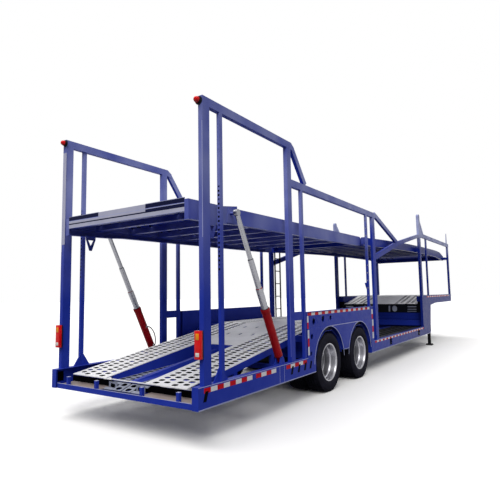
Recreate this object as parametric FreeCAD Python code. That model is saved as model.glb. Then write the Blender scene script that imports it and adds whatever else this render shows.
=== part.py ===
import FreeCAD, Part

import math
import os

from FreeCAD import Vector

# A two-axle, double-deck car carrier semi-trailer, parked on its tyres and landing legs.
# Millimetres. +X points to the gooseneck, +Y to the left side, +Z up from the floor.
# Stations are measured from the rear end of the side beams; save() moves them so that
# the origin is at the middle of the length, on the floor.

# ---------------------------------------------------------------- overall sizes
LENGTH = 13450.0
WIDTH = 2550.0
HALF = WIDTH / 2
# Side skins stand this far in from the posts, which leaves room for reflective tape.
TAPE_ROOM = 1.0
FACE = HALF - TAPE_ROOM
FRONT = LENGTH
SHEET = 8.0
PLATE = 8.0
CROSS_W = 70.0

# ---------------------------------------------------------------- wheels and axles
AXLE_STATIONS = (3273.0, 4631.0)
TYRE_D = 926.0
TYRE_W = 292.0
TWIN_PITCH = 325.0
RIM_SEAT_D = 571.5
RIM_HALF = 116.0
RIM_WALL = 12.0
FLANGE_RISE = 18.0
SEAT_GAP = 0.3
SPINDLE_R = 40.0
BEARING_GAP = 0.3
AXLE_TUBE = 130.0
DRUM_R = 195.0
AXLE_Z = TYRE_D / 2

# ---------------------------------------------------------------- lower frame
BEAM_BOTTOM = 385.0
BEAM_W = 90.0
BEAM_INNER_Y = HALF - BEAM_W
REAR_BEAM_TOP = 624.0
MID_BEAM_TOP = 604.0
MID_BEAM_END = 10200.0
PANEL_T = 10.0
PANEL_STEP = 6.0
ARCH_LIP = 70.0
ARCH_IN = FACE - ARCH_LIP
UPPER_SKIN = FACE - PANEL_STEP - PANEL_T
# The arches leave this much room round the tyres; the beams and panels end beside them.
ARCH_ROOM = 107.0
ARCH_R = TYRE_D / 2 + ARCH_ROOM
ARCH_REAR = AXLE_STATIONS[0] - ARCH_R
ARCH_FRONT = AXLE_STATIONS[1] + ARCH_R
PANEL_START = ARCH_REAR - 217.0
PANEL_END = ARCH_FRONT + 199.0
REAR_BEAM_END = ARCH_REAR + 37.0
MID_BEAM_START = ARCH_FRONT + 34.0
LEDGE_Z = AXLE_Z + ARCH_R + 7.0
PANEL_TOP = LEDGE_Z + 256.0

# ---------------------------------------------------------------- lower decks
TRACK_IN = 350.0
TRACK_OUT = 1000.0
RAMP_START = 140.0
RAMP_END = 3400.0
RAMP_LOW = 570.0
# The deck over the axles clears the tyres by this much.
DECK_ROOM = 124.0
AXLE_DECK_Z = TYRE_D + DECK_ROOM
WELL_START = 260.0
WELL_END = 1900.0
WELL_Z = (520.0, 600.0)
FRAME_REAR = AXLE_STATIONS[0] - 653.0
FRAME_FRONT = AXLE_STATIONS[1] + 929.0
MID_DECK_Z = 596.0
WALL_T = 10.0

# ---------------------------------------------------------------- gooseneck
NECK_BACK = 9640.0
NECK_POST = (9420.0, 9570.0)
NECK_TOP = 1460.0
NECK_DECK_Z = 1448.0
NECK_ENTRY_Z = 1230.0
NECK_ENTRY_END = 10800.0
NECK_UNDER = 1222.0
NECK_RAIL_IN = HALF - 190.0
NECK_RAIL_BOTTOM = 1292.0
RUB_PLATE = 12.0
KINGPIN_X = 12150.0
LEG_X = 10570.0
LEG_Y = HALF - 135.0
LEG_W = 100.0
INNER_LEG_W = 76.0

# ---------------------------------------------------------------- upper decks
# How far the decks' sides stand in from the posts' outer faces.
DECK_OUT = HALF - 170.0
FRONT_DECK_OUT = HALF - 145.0
DECK_WEB = 8.0
DECK_FLANGE = 60.0
DECK_SPLIT = 430.0
DECK_SEAM = 2.0
REAR_DECK_START = 50.0
REAR_DECK_TOP = (2637.0, 2700.0)
REAR_DECK_SHOULDER = 5250.0
PLATE_SINK = 30.0
CROSS_DEPTH = 90.0
PIVOT_X = 5330.0
PIVOT_Z = 2600.0
PIVOT_PIN_R = 25.0

# ---------------------------------------------------------------- lift cylinders
CYL_Y = HALF - 65.0
CYL_FOOT = (1762.0, 700.0)
CYL_EYE = (812.0, 2570.0)
BARREL_R = 56.0
STAGE_RADII = (46.0, 38.0, 30.0)
SLIDE_GAP = 0.4
BARREL_BASE = 85.0
BARREL_TOP = 765.0
STAGE_TOPS = (1060.0, 1470.0)
STAGE_LENGTH = 680.0
ROD_OVERLAP = 109.0
FOOT_PIN_R = 20.0
EYE_PIN_R = 20.0
EYE_R = 42.0
EYE_W = 52.0
EYE_GAP = 6.0

# ---------------------------------------------------------------- posts and rails
RAIL_T = 62.0
TOP_RAIL_Z = (3688.0, 3790.0)
MID_RAIL_Z = (3130.0, 3235.0)
FRONT_RAIL_Z = (3090.0, 3200.0)

os.makedirs("parts", exist_ok=True)


# ================================================================ helpers
def box(x0, x1, y0, y1, z0, z1):
    """A block between two corners."""
    return Part.makeBox(x1 - x0, y1 - y0, z1 - z0, Vector(x0, y0, z0))


def prism(points, y0, y1):
    """A side outline of (x, z) points, extruded across from y0 to y1."""
    wire = Part.makePolygon([Vector(x, y0, z) for x, z in points + points[:1]])
    return Part.Face(wire).extrude(Vector(0, y1 - y0, 0))


def section(points, x0, x1):
    """A cross outline of (y, z) points, extruded forward from x0 to x1."""
    wire = Part.makePolygon([Vector(x0, y, z) for y, z in points + points[:1]])
    return Part.Face(wire).extrude(Vector(x1 - x0, 0, 0))


def rod_y(x, z, radius, y0, y1):
    """A cylinder across the trailer."""
    return Part.makeCylinder(radius, y1 - y0, Vector(x, y0, z), Vector(0, 1, 0))


def fuse(shapes):
    """One solid out of pieces that are welded together."""
    joined = shapes[0].fuse(shapes[1:]) if len(shapes) > 1 else shapes[0]
    return joined.removeSplitter()


def mirrored(shape):
    """The same piece on the other side of the trailer."""
    return shape.mirror(Vector(0, 0, 0), Vector(0, 1, 0))


def both_sides(shapes):
    """Every shape and its mirror image."""
    return shapes + [mirrored(shape) for shape in shapes]


def bar(start, end, depth, y0, y1):
    """A straight bar in the side plane, from one (x, z) to another."""
    dx, dz = end[0] - start[0], end[1] - start[1]
    reach = math.hypot(dx, dz)
    nx, nz = -dz / reach * depth / 2, dx / reach * depth / 2
    corners = [(start[0] + nx, start[1] + nz), (end[0] + nx, end[1] + nz),
               (end[0] - nx, end[1] - nz), (start[0] - nx, start[1] - nz)]
    return prism(corners, y0, y1)


def sloped(height, x0, x1, depth, y0, y1):
    """A bar under a sloping line: height(x) is its top, depth its thickness."""
    return prism([(x0, height(x0)), (x1, height(x1)), (x1, height(x1) - depth),
                  (x0, height(x0) - depth)], y0, y1)


def arc_plate(top, bottom, y0, y1):
    """A side plate whose top and bottom edges are arcs through three (x, z) points."""
    at = [[Vector(x, y0, z) for x, z in edge] for edge in (top, bottom)]
    edges = [Part.Arc(*at[0]).toShape(), Part.makeLine(at[0][2], at[1][2]),
             Part.Arc(*at[1][::-1]).toShape(), Part.makeLine(at[1][0], at[0][0])]
    return Part.Face(Part.Wire(edges)).extrude(Vector(0, y1 - y0, 0))


def save(node, shapes):
    """Writes one node, with the origin moved to the middle of the trailer."""
    solids = []
    for shape in shapes:
        moved = shape.translated(Vector(-LENGTH / 2, 0, 0))
        solids.extend(moved.Solids)
    whole = solids[0] if len(solids) == 1 else Part.makeCompound(solids)
    whole.exportStep("parts/" + node + ".step")


def between(x, x0, x1, z0, z1):
    """Height at a station of the straight line from (x0, z0) to (x1, z1)."""
    return z0 + (x - x0) * (z1 - z0) / (x1 - x0)


def ramp_z(x):
    """Height of the wheel tracks: up the rear ramp, then level over the axles."""
    return min(between(x, RAMP_START, RAMP_END, RAMP_LOW, AXLE_DECK_Z), AXLE_DECK_Z)


def under_ramp(x):
    """Height of the underside of the track plates."""
    return ramp_z(x) - PLATE


def well_z(x):
    """Height of the sunken floor between the ramps."""
    return between(x, WELL_START, WELL_END, *WELL_Z)


# ================================================================ lower side beams
SLOT_Z = (464.0, 571.0)
SLOT_W = 24.0
SLOT_LEAN = 38.0
REAR_SLOTS = (90.0, 1965.0, 2165.0, 2355.0, 2535.0)
POCKETS = ((6400.0, 6560.0), (8800.0, 9000.0))
POCKET_EDGE = 40.0


def side_beam(x0, x1, top):
    """A channel open to the inside, with closed ends."""
    web = [(FACE, BEAM_BOTTOM), (FACE, top), (BEAM_INNER_Y, top), (BEAM_INNER_Y, top - SHEET),
           (FACE - SHEET, top - SHEET), (FACE - SHEET, BEAM_BOTTOM + SHEET),
           (BEAM_INNER_Y, BEAM_BOTTOM + SHEET), (BEAM_INNER_Y, BEAM_BOTTOM)]
    ends = [box(x, x + SHEET, BEAM_INNER_Y, FACE, BEAM_BOTTOM, top) for x in (x0, x1 - SHEET)]
    return fuse([section(web, x0, x1)] + ends)


def rear_side_beam():
    """The side beam beside the ramps, with slanted strap slots in its web."""
    beam = side_beam(0.0, REAR_BEAM_END, REAR_BEAM_TOP)
    for x in REAR_SLOTS:
        slot = [(x, SLOT_Z[0]), (x + SLOT_W, SLOT_Z[0]), (x + SLOT_W + SLOT_LEAN, SLOT_Z[1]),
                (x + SLOT_LEAN, SLOT_Z[1])]
        beam = beam.cut(prism(slot, FACE - 2 * SHEET, HALF))
    return beam


def mid_side_beam():
    """The side beam of the low middle deck, with two windows in its web."""
    beam = side_beam(MID_BEAM_START, MID_BEAM_END, MID_BEAM_TOP)
    for x0, x1 in POCKETS:
        window = box(x0, x1, FACE - SHEET, HALF, BEAM_BOTTOM + POCKET_EDGE, MID_BEAM_TOP - POCKET_EDGE)
        beam = beam.cut(window)
    return beam


save("side_beams", both_sides([rear_side_beam(), mid_side_beam()]))

# ================================================================ rear cross beam
TAIL_X = 20.0
LIP_TOP = 450.0
UPRIGHTS = (-965.0, -402.0, 402.0, 965.0)
UPRIGHT_TOP = 545.0
UPRIGHT_W = 40.0


def rear_cross_beam():
    """A low channel between the beams, with upright stops along its rear lip."""
    edge = BEAM_INNER_Y
    pieces = [box(TAIL_X, TAIL_X + SHEET, -edge, edge, BEAM_BOTTOM, LIP_TOP),
              box(TAIL_X, WELL_START, -edge, edge, BEAM_BOTTOM, BEAM_BOTTOM + SHEET),
              box(WELL_START - SHEET, WELL_START, -edge, edge, BEAM_BOTTOM, WELL_Z[0])]
    for y in UPRIGHTS:
        half = UPRIGHT_W / 2
        pieces.append(box(TAIL_X, TAIL_X + UPRIGHT_W, y - half, y + half, BEAM_BOTTOM, UPRIGHT_TOP))
    return fuse(pieces)


save("rear_cross_beam", [rear_cross_beam()])

# ================================================================ rear ramps
RAIL_W = 45.0
RAIL_DEPTH = 90.0
RUNG_DEPTH = 60.0
RUNG_STATIONS = (330.0, 780.0, 1230.0, 1680.0, 2130.0)
TUBE_STATIONS = (1000.0, WELL_END)
TUBE_DEPTH = 70.0


def ramp_frames():
    """Inclined rails under both wheel tracks, tied to the side beams by cross tubes."""
    pieces = []
    for y in (TRACK_IN, TRACK_OUT - RAIL_W):
        pieces.append(sloped(under_ramp, WELL_START, FRAME_REAR, RAIL_DEPTH, y, y + RAIL_W))
    for x in RUNG_STATIONS:
        pieces.append(sloped(under_ramp, x, x + CROSS_W, RUNG_DEPTH, TRACK_IN, TRACK_OUT))
    front = WELL_END + SHEET
    skirt = [(WELL_START, under_ramp(WELL_START)), (front, under_ramp(front)),
             (front, WELL_Z[1] - PLATE - SHEET), (WELL_START, WELL_Z[0] - PLATE - SHEET)]
    pieces.append(prism(skirt, TRACK_IN, TRACK_IN + SHEET))
    pieces = both_sides(pieces)
    reach = FACE - SHEET
    for x in TUBE_STATIONS:
        top = well_z(x) - PLATE
        pieces.append(box(x, x + CROSS_W, -reach, reach, top - TUBE_DEPTH, top))
    end_wall = box(WELL_END, front, -TRACK_IN, TRACK_IN, WELL_Z[1] - PLATE - SHEET, under_ramp(WELL_END))
    for y in (TRACK_OUT - RAIL_W, -TRACK_OUT):
        for x in TUBE_STATIONS:
            pieces.append(box(x, x + CROSS_W, y, y + RAIL_W, well_z(x) - PLATE - TUBE_DEPTH,
                              under_ramp(x) - RUNG_DEPTH))
    return fuse(pieces + [end_wall])


EDGE_BAR = 12.0


def ramp_plates():
    """The two inclined wheel tracks, with the bar along their rear edge."""
    tracks = both_sides([sloped(ramp_z, RAMP_START, RAMP_END, PLATE, TRACK_IN, TRACK_OUT)])
    edge = box(RAMP_START - EDGE_BAR, RAMP_START, -TRACK_OUT, TRACK_OUT, RAMP_LOW - EDGE_BAR, RAMP_LOW)
    return fuse(tracks + [edge])


save("ramp_frames", [ramp_frames()])
save("ramp_track_plates", [ramp_plates()])

SPINE_HALF = 90.0
SPINE_RISE = (20.0, 150.0)


def centre_floor():
    """The sunken floor between the ramps, with a wedge-shaped spine along its middle."""
    floor = sloped(well_z, WELL_START, WELL_END, PLATE, -TRACK_IN, TRACK_IN)
    spine = prism([(WELL_START, WELL_Z[0] - PLATE), (WELL_END, WELL_Z[1] - PLATE),
                   (WELL_END, WELL_Z[1] + SPINE_RISE[1]), (WELL_START, WELL_Z[0] + SPINE_RISE[0])],
                  -SPINE_HALF, SPINE_HALF)
    return fuse([floor, spine])


save("ramp_centre_floor", [centre_floor()])

# ================================================================ axle side panels
# columns: station, height, radius
PANEL_HOLES = ((2721.0, 1143.0, 50.0), (3052.0, 1167.0, 50.0), (3338.0, 1170.0, 40.0),
               (2630.0, 921.0, 40.0), (2590.0, 671.0, 34.0))


def axle_side_panel():
    """A double skin beside the axles: two wheel arches, folded lips and a ledge at the arch tops."""
    lower = box(PANEL_START, PANEL_END, FACE - PANEL_T, FACE, MID_BEAM_TOP, LEDGE_Z)
    upper = box(PANEL_START, PANEL_END, UPPER_SKIN, FACE - PANEL_STEP, LEDGE_Z, PANEL_TOP)
    ledge = box(PANEL_START, PANEL_END, UPPER_SKIN, FACE, LEDGE_Z - PANEL_T, LEDGE_Z)
    lip = box(PANEL_START, PANEL_END, ARCH_IN, FACE, PANEL_TOP - SHEET, PANEL_TOP)
    inner = box(PANEL_START, PANEL_END, ARCH_IN, ARCH_IN + SHEET, MID_BEAM_TOP, PANEL_TOP)
    panel = fuse([lower, upper, ledge, lip])
    for x, z, radius in PANEL_HOLES:
        panel = panel.cut(rod_y(x, z, radius, ARCH_IN, HALF))
    panel = fuse([panel, inner])
    arches = []
    for x in AXLE_STATIONS:
        panel = panel.cut(rod_y(x, AXLE_Z, ARCH_R, 0, HALF))
        arch = rod_y(x, AXLE_Z, ARCH_R + SHEET, ARCH_IN, FACE)
        arch = arch.cut(rod_y(x, AXLE_Z, ARCH_R, 0, HALF))
        arches.append(arch.common(box(x - WIDTH, x + WIDTH, 0, HALF, MID_BEAM_TOP, PANEL_TOP)))
    panel = fuse([panel] + arches)
    return panel.cut(box(0, REAR_BEAM_END, 0, HALF, 0, REAR_BEAM_TOP))


save("axle_side_panels", both_sides([axle_side_panel()]))

# ================================================================ frame over the axles
RAIL_IN = 430.0
RAIL_OUT = 530.0
RAIL_BOTTOM = AXLE_Z + 337.0
DECK_CROSS_DEPTH = 50.0
DECK_CROSS = (2860.0, 3238.0, 3620.0, 4215.0, 4596.0, 5050.0, FRAME_FRONT - CROSS_W)
GUARD_R = TYRE_D / 2 + 37.0
GUARD_T = 5.0
GUARD_IN = 650.0
GUARD_OUT = UPPER_SKIN - 5.0
GUARD_FOLDS = 5
GUARD_START = 12.0


def mudguard(x):
    """A sheet folded in flats over one pair of tyres, hung from the cross member above it."""
    step = math.radians((180.0 - 2 * GUARD_START) / GUARD_FOLDS)
    angles = [math.radians(GUARD_START) + step * i for i in range(GUARD_FOLDS + 1)]
    inner = [(x + GUARD_R / math.cos(step / 2) * math.cos(a),
              AXLE_Z + GUARD_R / math.cos(step / 2) * math.sin(a)) for a in angles]
    radius = (GUARD_R + GUARD_T) / math.cos(step / 2)
    outer = [(x + radius * math.cos(a), AXLE_Z + radius * math.sin(a)) for a in angles]
    return prism(inner + outer[::-1], GUARD_IN, GUARD_OUT)


def axle_frame():
    """Two deep rails over the axles, with cross members out to the side panels and their lips."""
    edge = ARCH_IN
    outline = [(FRAME_REAR, under_ramp(FRAME_REAR)), (RAMP_END, under_ramp(RAMP_END)),
               (FRAME_FRONT, under_ramp(FRAME_FRONT)), (FRAME_FRONT, RAIL_BOTTOM), (FRAME_REAR, RAIL_BOTTOM)]
    pieces = both_sides([prism(outline, RAIL_IN, RAIL_OUT)])
    pieces.append(sloped(under_ramp, FRAME_REAR, FRAME_REAR + CROSS_W, RAIL_DEPTH, -edge, edge))
    for x in DECK_CROSS:
        pieces.append(sloped(under_ramp, x, x + CROSS_W, DECK_CROSS_DEPTH, -edge, edge))
    for x in AXLE_STATIONS:
        pieces.extend(both_sides([mudguard(x)]))
        drop = AXLE_Z + GUARD_R
        for y in (GUARD_IN, edge - CROSS_W):
            hanger = box(x - CROSS_W / 2, x + CROSS_W / 2, y, y + CROSS_W, drop, under_ramp(x) - PLATE)
            pieces.extend(both_sides([hanger]))
    return fuse(pieces)


save("axle_frame", [axle_frame()])


def step_wall():
    """The upright wall at the front of the axle frame, with a foot flange below the middle deck."""
    wall = box(FRAME_FRONT, FRAME_FRONT + WALL_T, -BEAM_INNER_Y, BEAM_INNER_Y, BEAM_BOTTOM,
               under_ramp(FRAME_FRONT))
    foot = box(FRAME_FRONT, FRAME_FRONT + CROSS_W, -BEAM_INNER_Y, BEAM_INNER_Y, BEAM_BOTTOM,
               BEAM_BOTTOM + SHEET)
    return fuse([wall, foot])


save("step_wall", [step_wall()])

TIE_SLOTS = (2500.0, 3000.0, 3700.0, 4400.0, 5100.0)
TIE_SLOT = (120.0, 40.0)
TIE_ROWS = (-250.0, 0.0, 250.0)


def centre_plate():
    """The smooth plate between the tracks, from the ramp well to the step wall, with tie-down slots."""
    half = TRACK_IN - DECK_SEAM
    front = FRAME_FRONT + WALL_T
    plate = fuse([sloped(ramp_z, WELL_END, RAMP_END, PLATE, -half, half),
                  sloped(ramp_z, RAMP_END, front, PLATE, -half, half)])
    for x in TIE_SLOTS:
        for y in TIE_ROWS:
            half_slot = TIE_SLOT[1] / 2
            plate = plate.cut(box(x, x + TIE_SLOT[0], y - half_slot, y + half_slot, RAMP_LOW, PANEL_TOP))
    return plate


level_track = box(RAMP_END, FRAME_FRONT + WALL_T, TRACK_IN, TRACK_OUT, AXLE_DECK_Z - PLATE, AXLE_DECK_Z)
save("axle_deck_plates", [centre_plate()] + both_sides([level_track]))

# ================================================================ middle deck
MID_CROSS = (5900.0, 6500.0, 7100.0, 7700.0, 8300.0, 8900.0)
MID_CROSS_DEPTH = 110.0
STRINGER_Y = 300.0
STRINGER_HALF = 30.0
STRINGER_DEPTH = 80.0
MID_PLATE_IN = 410.0
MID_TOP = MID_DECK_Z - PLATE
MID_START = FRAME_FRONT + WALL_T


def mid_cross_members():
    """Channels between the middle side beams, tied by two long stringers."""
    pieces = [box(x, x + CROSS_W, -BEAM_INNER_Y, BEAM_INNER_Y, MID_TOP - MID_CROSS_DEPTH, MID_TOP)
              for x in MID_CROSS]
    stringer = box(MID_START, NECK_BACK, STRINGER_Y - STRINGER_HALF, STRINGER_Y + STRINGER_HALF,
                   MID_TOP - STRINGER_DEPTH, MID_TOP)
    return fuse(pieces + both_sides([stringer]))


save("mid_cross_members", [mid_cross_members()])
mid_track = box(MID_START, NECK_BACK, MID_PLATE_IN, BEAM_INNER_Y - DECK_SEAM, MID_TOP, MID_DECK_Z)
save("mid_track_plates", both_sides([mid_track]))

# ================================================================ gooseneck
NECK_END = FRONT - 20.0
NOSE_CUT = 100.0
NOSE_RISE = 30.0
LEG_FACE_TOP = (10375.0, 1175.0)
LEG_FACE_FOOT = (10246.0, MID_BEAM_TOP)
NECK_CURVE = 11000.0


def gooseneck_side():
    """The side skin: a flat upper limb, a bent underside and a leg down to the side beam."""
    outline = [(NECK_POST[1], MID_BEAM_TOP), (NECK_POST[1], NECK_TOP), (NECK_END, NECK_TOP),
               (NECK_END, NECK_UNDER + NOSE_RISE), (NECK_END - NOSE_CUT, NECK_UNDER),
               (NECK_CURVE, NECK_UNDER), LEG_FACE_TOP, LEG_FACE_FOOT]
    return prism(outline, FACE - PANEL_T, FACE)


save("gooseneck_side_plates", both_sides([gooseneck_side()]))


def neck_z(x):
    """Height of the neck's deck: an entry slope, then level to the front."""
    return min(between(x, NECK_BACK, NECK_ENTRY_END, NECK_ENTRY_Z, NECK_DECK_Z), NECK_DECK_Z)


def under_neck(x):
    """Height of the underside of the neck's deck plate."""
    return neck_z(x) - PLATE


NECK_CROSS = (10900.0, 11560.0, 12220.0, 12880.0)
NECK_RAIL_Y = 400.0
NECK_RAIL_HALF = 40.0
HEADER = 60.0


def gooseneck_frame():
    """Box rails along both sides of the neck, cross beams and the rails over the kingpin."""
    out = FACE - PANEL_T
    top = under_neck(FRONT)
    low = NECK_UNDER + RUB_PLATE
    side = box(NECK_POST[1], NECK_END, NECK_RAIL_IN, out, NECK_RAIL_BOTTOM, top)
    centre = box(LEG_X, NECK_END - HEADER, NECK_RAIL_Y - NECK_RAIL_HALF, NECK_RAIL_Y + NECK_RAIL_HALF, low,
                 under_neck(LEG_X))
    pieces = both_sides([side, centre])
    pieces.append(box(LEG_X - CROSS_W / 2, LEG_X + CROSS_W / 2, -out, out, low, under_neck(LEG_X - CROSS_W)))
    for x in NECK_CROSS:
        pieces.append(box(x, x + CROSS_W, -NECK_RAIL_IN, NECK_RAIL_IN, low, top))
    pieces.append(box(NECK_END - HEADER, NECK_END, -NECK_RAIL_IN, NECK_RAIL_IN, NECK_UNDER + NOSE_RISE, top))
    return fuse(pieces)


save("gooseneck_frame", [gooseneck_frame()])

# The wall at the back of the neck, from the top down: (low, high) of each part.
RISER_WALL = (1000.0, 1180.0)
RISER_BEAM = (860.0, 1000.0)
RISER_FLANGE = (800.0, 860.0)
RISER_BOX = (634.0, 774.0)
BOX_REACH = 60.0
BOX_SLANT = 60.0
RISER_DEPTH = 150.0
# The oval hole: place across, half width, half height; and the slim slot beside it.
RISER_OVAL = (440.0, 70.0, 85.0)
RISER_SLIM = (290.0, 25.0, 85.0)
OVAL_Z = 1090.0
# columns: low and high edge of each slot
RISER_SLOTS = ((1005.0, 1030.0), (1060.0, 1090.0), (1130.0, 1165.0))
SLOT_Y = (800.0, 1050.0)


def oval_hole(y, half_width, half_height):
    """A tall hole with round ends through the riser's wall."""
    straight = half_height - half_width
    x0 = NECK_BACK - 1
    ends = [Part.makeCylinder(half_width, WALL_T + 2, Vector(x0, y, OVAL_Z + z), Vector(1, 0, 0))
            for z in (-straight, straight)]
    middle = box(x0, x0 + WALL_T + 2, y - half_width, y + half_width, OVAL_Z - straight, OVAL_Z + straight)
    return fuse(ends + [middle])


def gooseneck_riser():
    """The step at the back of the neck: an open wall over a cross beam and a low box."""
    edge = BEAM_INNER_Y
    wall = box(NECK_BACK, NECK_BACK + WALL_T, -NECK_RAIL_IN, NECK_RAIL_IN, *RISER_WALL)
    x0, x1 = NECK_BACK - 1, NECK_BACK + WALL_T + 1
    y, half_width, half_height = RISER_SLIM
    holes = [oval_hole(*RISER_OVAL),
             box(x0, x1, y - half_width, y + half_width, OVAL_Z - half_height, OVAL_Z + half_height)]
    holes += [box(x0, x1, *SLOT_Y, z0, z1) for z0, z1 in RISER_SLOTS]
    for hole in both_sides(holes):
        wall = wall.cut(hole)
    front = MID_BEAM_END - WALL_T
    top_bar = box(NECK_BACK, NECK_BACK + BOX_REACH, -NECK_RAIL_IN, NECK_RAIL_IN, RISER_WALL[1],
                  under_neck(NECK_BACK))
    box_low, box_high = RISER_BOX
    low_box = [(NECK_BACK + WALL_T, box_low), (NECK_BACK + WALL_T, box_high),
               (NECK_BACK - BOX_REACH, box_high), (NECK_BACK - BOX_REACH - BOX_SLANT, box_low)]
    pieces = [wall, top_bar,
              box(NECK_BACK, NECK_BACK + RISER_DEPTH, -edge, edge, *RISER_BEAM),
              box(NECK_BACK - WALL_T, NECK_BACK + RISER_DEPTH, -edge, edge, *RISER_FLANGE),
              prism(low_box, -edge, edge),
              box(NECK_BACK, NECK_BACK + WALL_T, -edge, edge, MID_TOP - MID_CROSS_DEPTH, RISER_FLANGE[0]),
              box(front, MID_BEAM_END, -edge, edge, BEAM_BOTTOM, RISER_BEAM[0])]
    side = box(NECK_BACK + RISER_DEPTH, MID_BEAM_END, edge - HEADER, edge, RISER_FLANGE[0], RISER_BEAM[0])
    cheek = box(NECK_BACK, NECK_BACK + WALL_T, NECK_RAIL_IN, FACE - PANEL_T, RISER_BEAM[0],
                NECK_RAIL_BOTTOM)
    return fuse(pieces + both_sides([side, cheek]))


save("gooseneck_riser", [gooseneck_riser()])


def gooseneck_deck():
    """The entry slope and the level plate over the neck."""
    edge = NECK_RAIL_IN
    return fuse([sloped(neck_z, NECK_BACK, NECK_ENTRY_END, PLATE, -edge, edge),
                 sloped(neck_z, NECK_ENTRY_END, NECK_END - DECK_SEAM, PLATE, -edge, edge)])


save("gooseneck_deck", [gooseneck_deck()])

# The coupling plate and its two-inch kingpin.
KINGPIN_COLLAR = (45.0, 13.0)
KINGPIN_NECK = (25.4, 49.0)
KINGPIN_FOOT = (35.7, 84.0)
RUB_HALF = 560.0
RUB_BACK = 620.0
RUB_FRONT = 130.0


def kingpin():
    """A turned pin: collar, neck and foot, each given as (radius, depth of its lower end)."""
    collar_r, collar_z = KINGPIN_COLLAR
    neck_r, neck_low = KINGPIN_NECK
    foot_r, foot_z = KINGPIN_FOOT
    profile = [(0, 0), (collar_r, 0), (collar_r, -collar_z), (neck_r, -collar_z), (neck_r, -neck_low),
               (foot_r, -neck_low), (foot_r, -foot_z), (0, -foot_z)]
    wire = Part.makePolygon([Vector(r, 0, z) for r, z in profile + profile[:1]])
    pin = Part.Face(wire).revolve(Vector(0, 0, 0), Vector(0, 0, 1), 360)
    return pin.translated(Vector(KINGPIN_X, 0, NECK_UNDER))


save("rubbing_plate", [box(KINGPIN_X - RUB_BACK, FRONT - RUB_FRONT, -RUB_HALF, RUB_HALF, NECK_UNDER,
                           NECK_UNDER + RUB_PLATE)])
save("kingpin", [kingpin()])

# ================================================================ landing legs
LEG_SPLIT = 400.0
SHOE = (105.0, 85.0, 12.0)
SHOE_CROWN = (50.0, 44.0)
SHAFT_R = 15.0
SHAFT_Z = 780.0
GEARBOX = (100.0, 90.0, 130.0)


def square_tube(width, z0, z1):
    """An upright square tube on a leg's axis."""
    half = width / 2
    return box(LEG_X - half, LEG_X + half, LEG_Y - half, LEG_Y + half, z0, z1)


def landing_leg():
    """A square outer tube, its inner leg and a sand shoe on the floor."""
    long_half, wide_half, thick = SHOE
    crown_half, crown = SHOE_CROWN
    outline = [(LEG_X - long_half, 0), (LEG_X + long_half, 0), (LEG_X + long_half, thick),
               (LEG_X + crown_half, crown), (LEG_X - crown_half, crown), (LEG_X - long_half, thick)]
    shoe = prism(outline, LEG_Y - wide_half, LEG_Y + wide_half)
    return fuse([square_tube(LEG_W, LEG_SPLIT, NECK_UNDER + RUB_PLATE),
                 square_tube(INNER_LEG_W, crown, LEG_SPLIT), shoe])


def leg_shaft():
    """The cross shaft that drives both legs, with its gearbox."""
    inner = LEG_Y - LEG_W / 2
    shaft = rod_y(LEG_X, SHAFT_Z, SHAFT_R, -inner, inner)
    gearbox = box(LEG_X - GEARBOX[0] / 2, LEG_X + GEARBOX[0] / 2, inner - GEARBOX[1], inner,
                  SHAFT_Z - GEARBOX[2] / 2, SHAFT_Z + GEARBOX[2] / 2)
    return fuse([shaft, gearbox])


save("landing_legs", both_sides([landing_leg()]))
save("landing_leg_shaft", [leg_shaft()])

# ================================================================ posts
# columns: rear station, front station, thickness across, bottom, top
MAIN_POSTS = (
    (94.0, 215.0, RAIL_T, REAR_BEAM_TOP, TOP_RAIL_Z[0]),
    (1985.0, 2100.0, RAIL_T, REAR_BEAM_TOP, TOP_RAIL_Z[0]),
    (5575.0, 5700.0, RAIL_T, MID_BEAM_TOP, MID_RAIL_Z[0]),
    (13290.0, 13400.0, 55.0, NECK_TOP, FRONT_RAIL_Z[0]),
)
# columns: rear station, front station, thickness across, bottom, top, first window, last window
GUIDE_POSTS = (
    (398.0, 453.0, 42.0, REAR_BEAM_TOP, TOP_RAIL_Z[0], 1000.0, 3500.0),
    (5190.0, 5250.0, 42.0, PANEL_TOP, MID_RAIL_Z[0], 1500.0, 3000.0),
)
STAY_POSTS = (
    (PANEL_START - 96.0, PANEL_START - 36.0, 45.0, REAR_BEAM_TOP, MID_RAIL_Z[0]),
    (10180.0, 10260.0, 40.0, NECK_TOP, FRONT_RAIL_Z[0]),
)
WINDOW_PITCH = 150.0
WINDOW = 24.0


def post(x0, x1, thick, z0, z1):
    """A plain upright, flush with the trailer's side."""
    return box(x0, x1, HALF - thick, HALF, z0, z1)


def lock_windows(upright, x0, x1, thick, first, last):
    """An upright with a row of square windows for the deck's locking pins."""
    y = HALF - thick / 2
    for i in range(int((last - first) // WINDOW_PITCH) + 1):
        z = first + i * WINDOW_PITCH
        upright = upright.cut(box(x0 - 1, x1 + 1, y - WINDOW / 2, y + WINDOW / 2, z, z + WINDOW))
    return upright


def guide_post(x0, x1, thick, z0, z1, first, last):
    """A locking post with its row of windows."""
    return lock_windows(post(x0, x1, thick, z0, z1), x0, x1, thick, first, last)


save("main_posts", both_sides([post(*row) for row in MAIN_POSTS]))
save("stay_posts", both_sides([post(*row) for row in STAY_POSTS]))

NECK_POST_TOP = 3720.0
NECK_WINDOWS = (2000.0, 3100.0)


def neck_post():
    """The tall locking post at the back of the gooseneck, with a round top."""
    x0, x1 = NECK_POST
    radius = (x1 - x0) / 2
    upright = box(x0, x1, HALF - RAIL_T, HALF, MID_BEAM_TOP, NECK_POST_TOP - radius)
    cap = rod_y(x0 + radius, NECK_POST_TOP - radius, radius, HALF - RAIL_T, HALF)
    return lock_windows(fuse([upright, cap]), x0, x1, RAIL_T, *NECK_WINDOWS)


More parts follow.
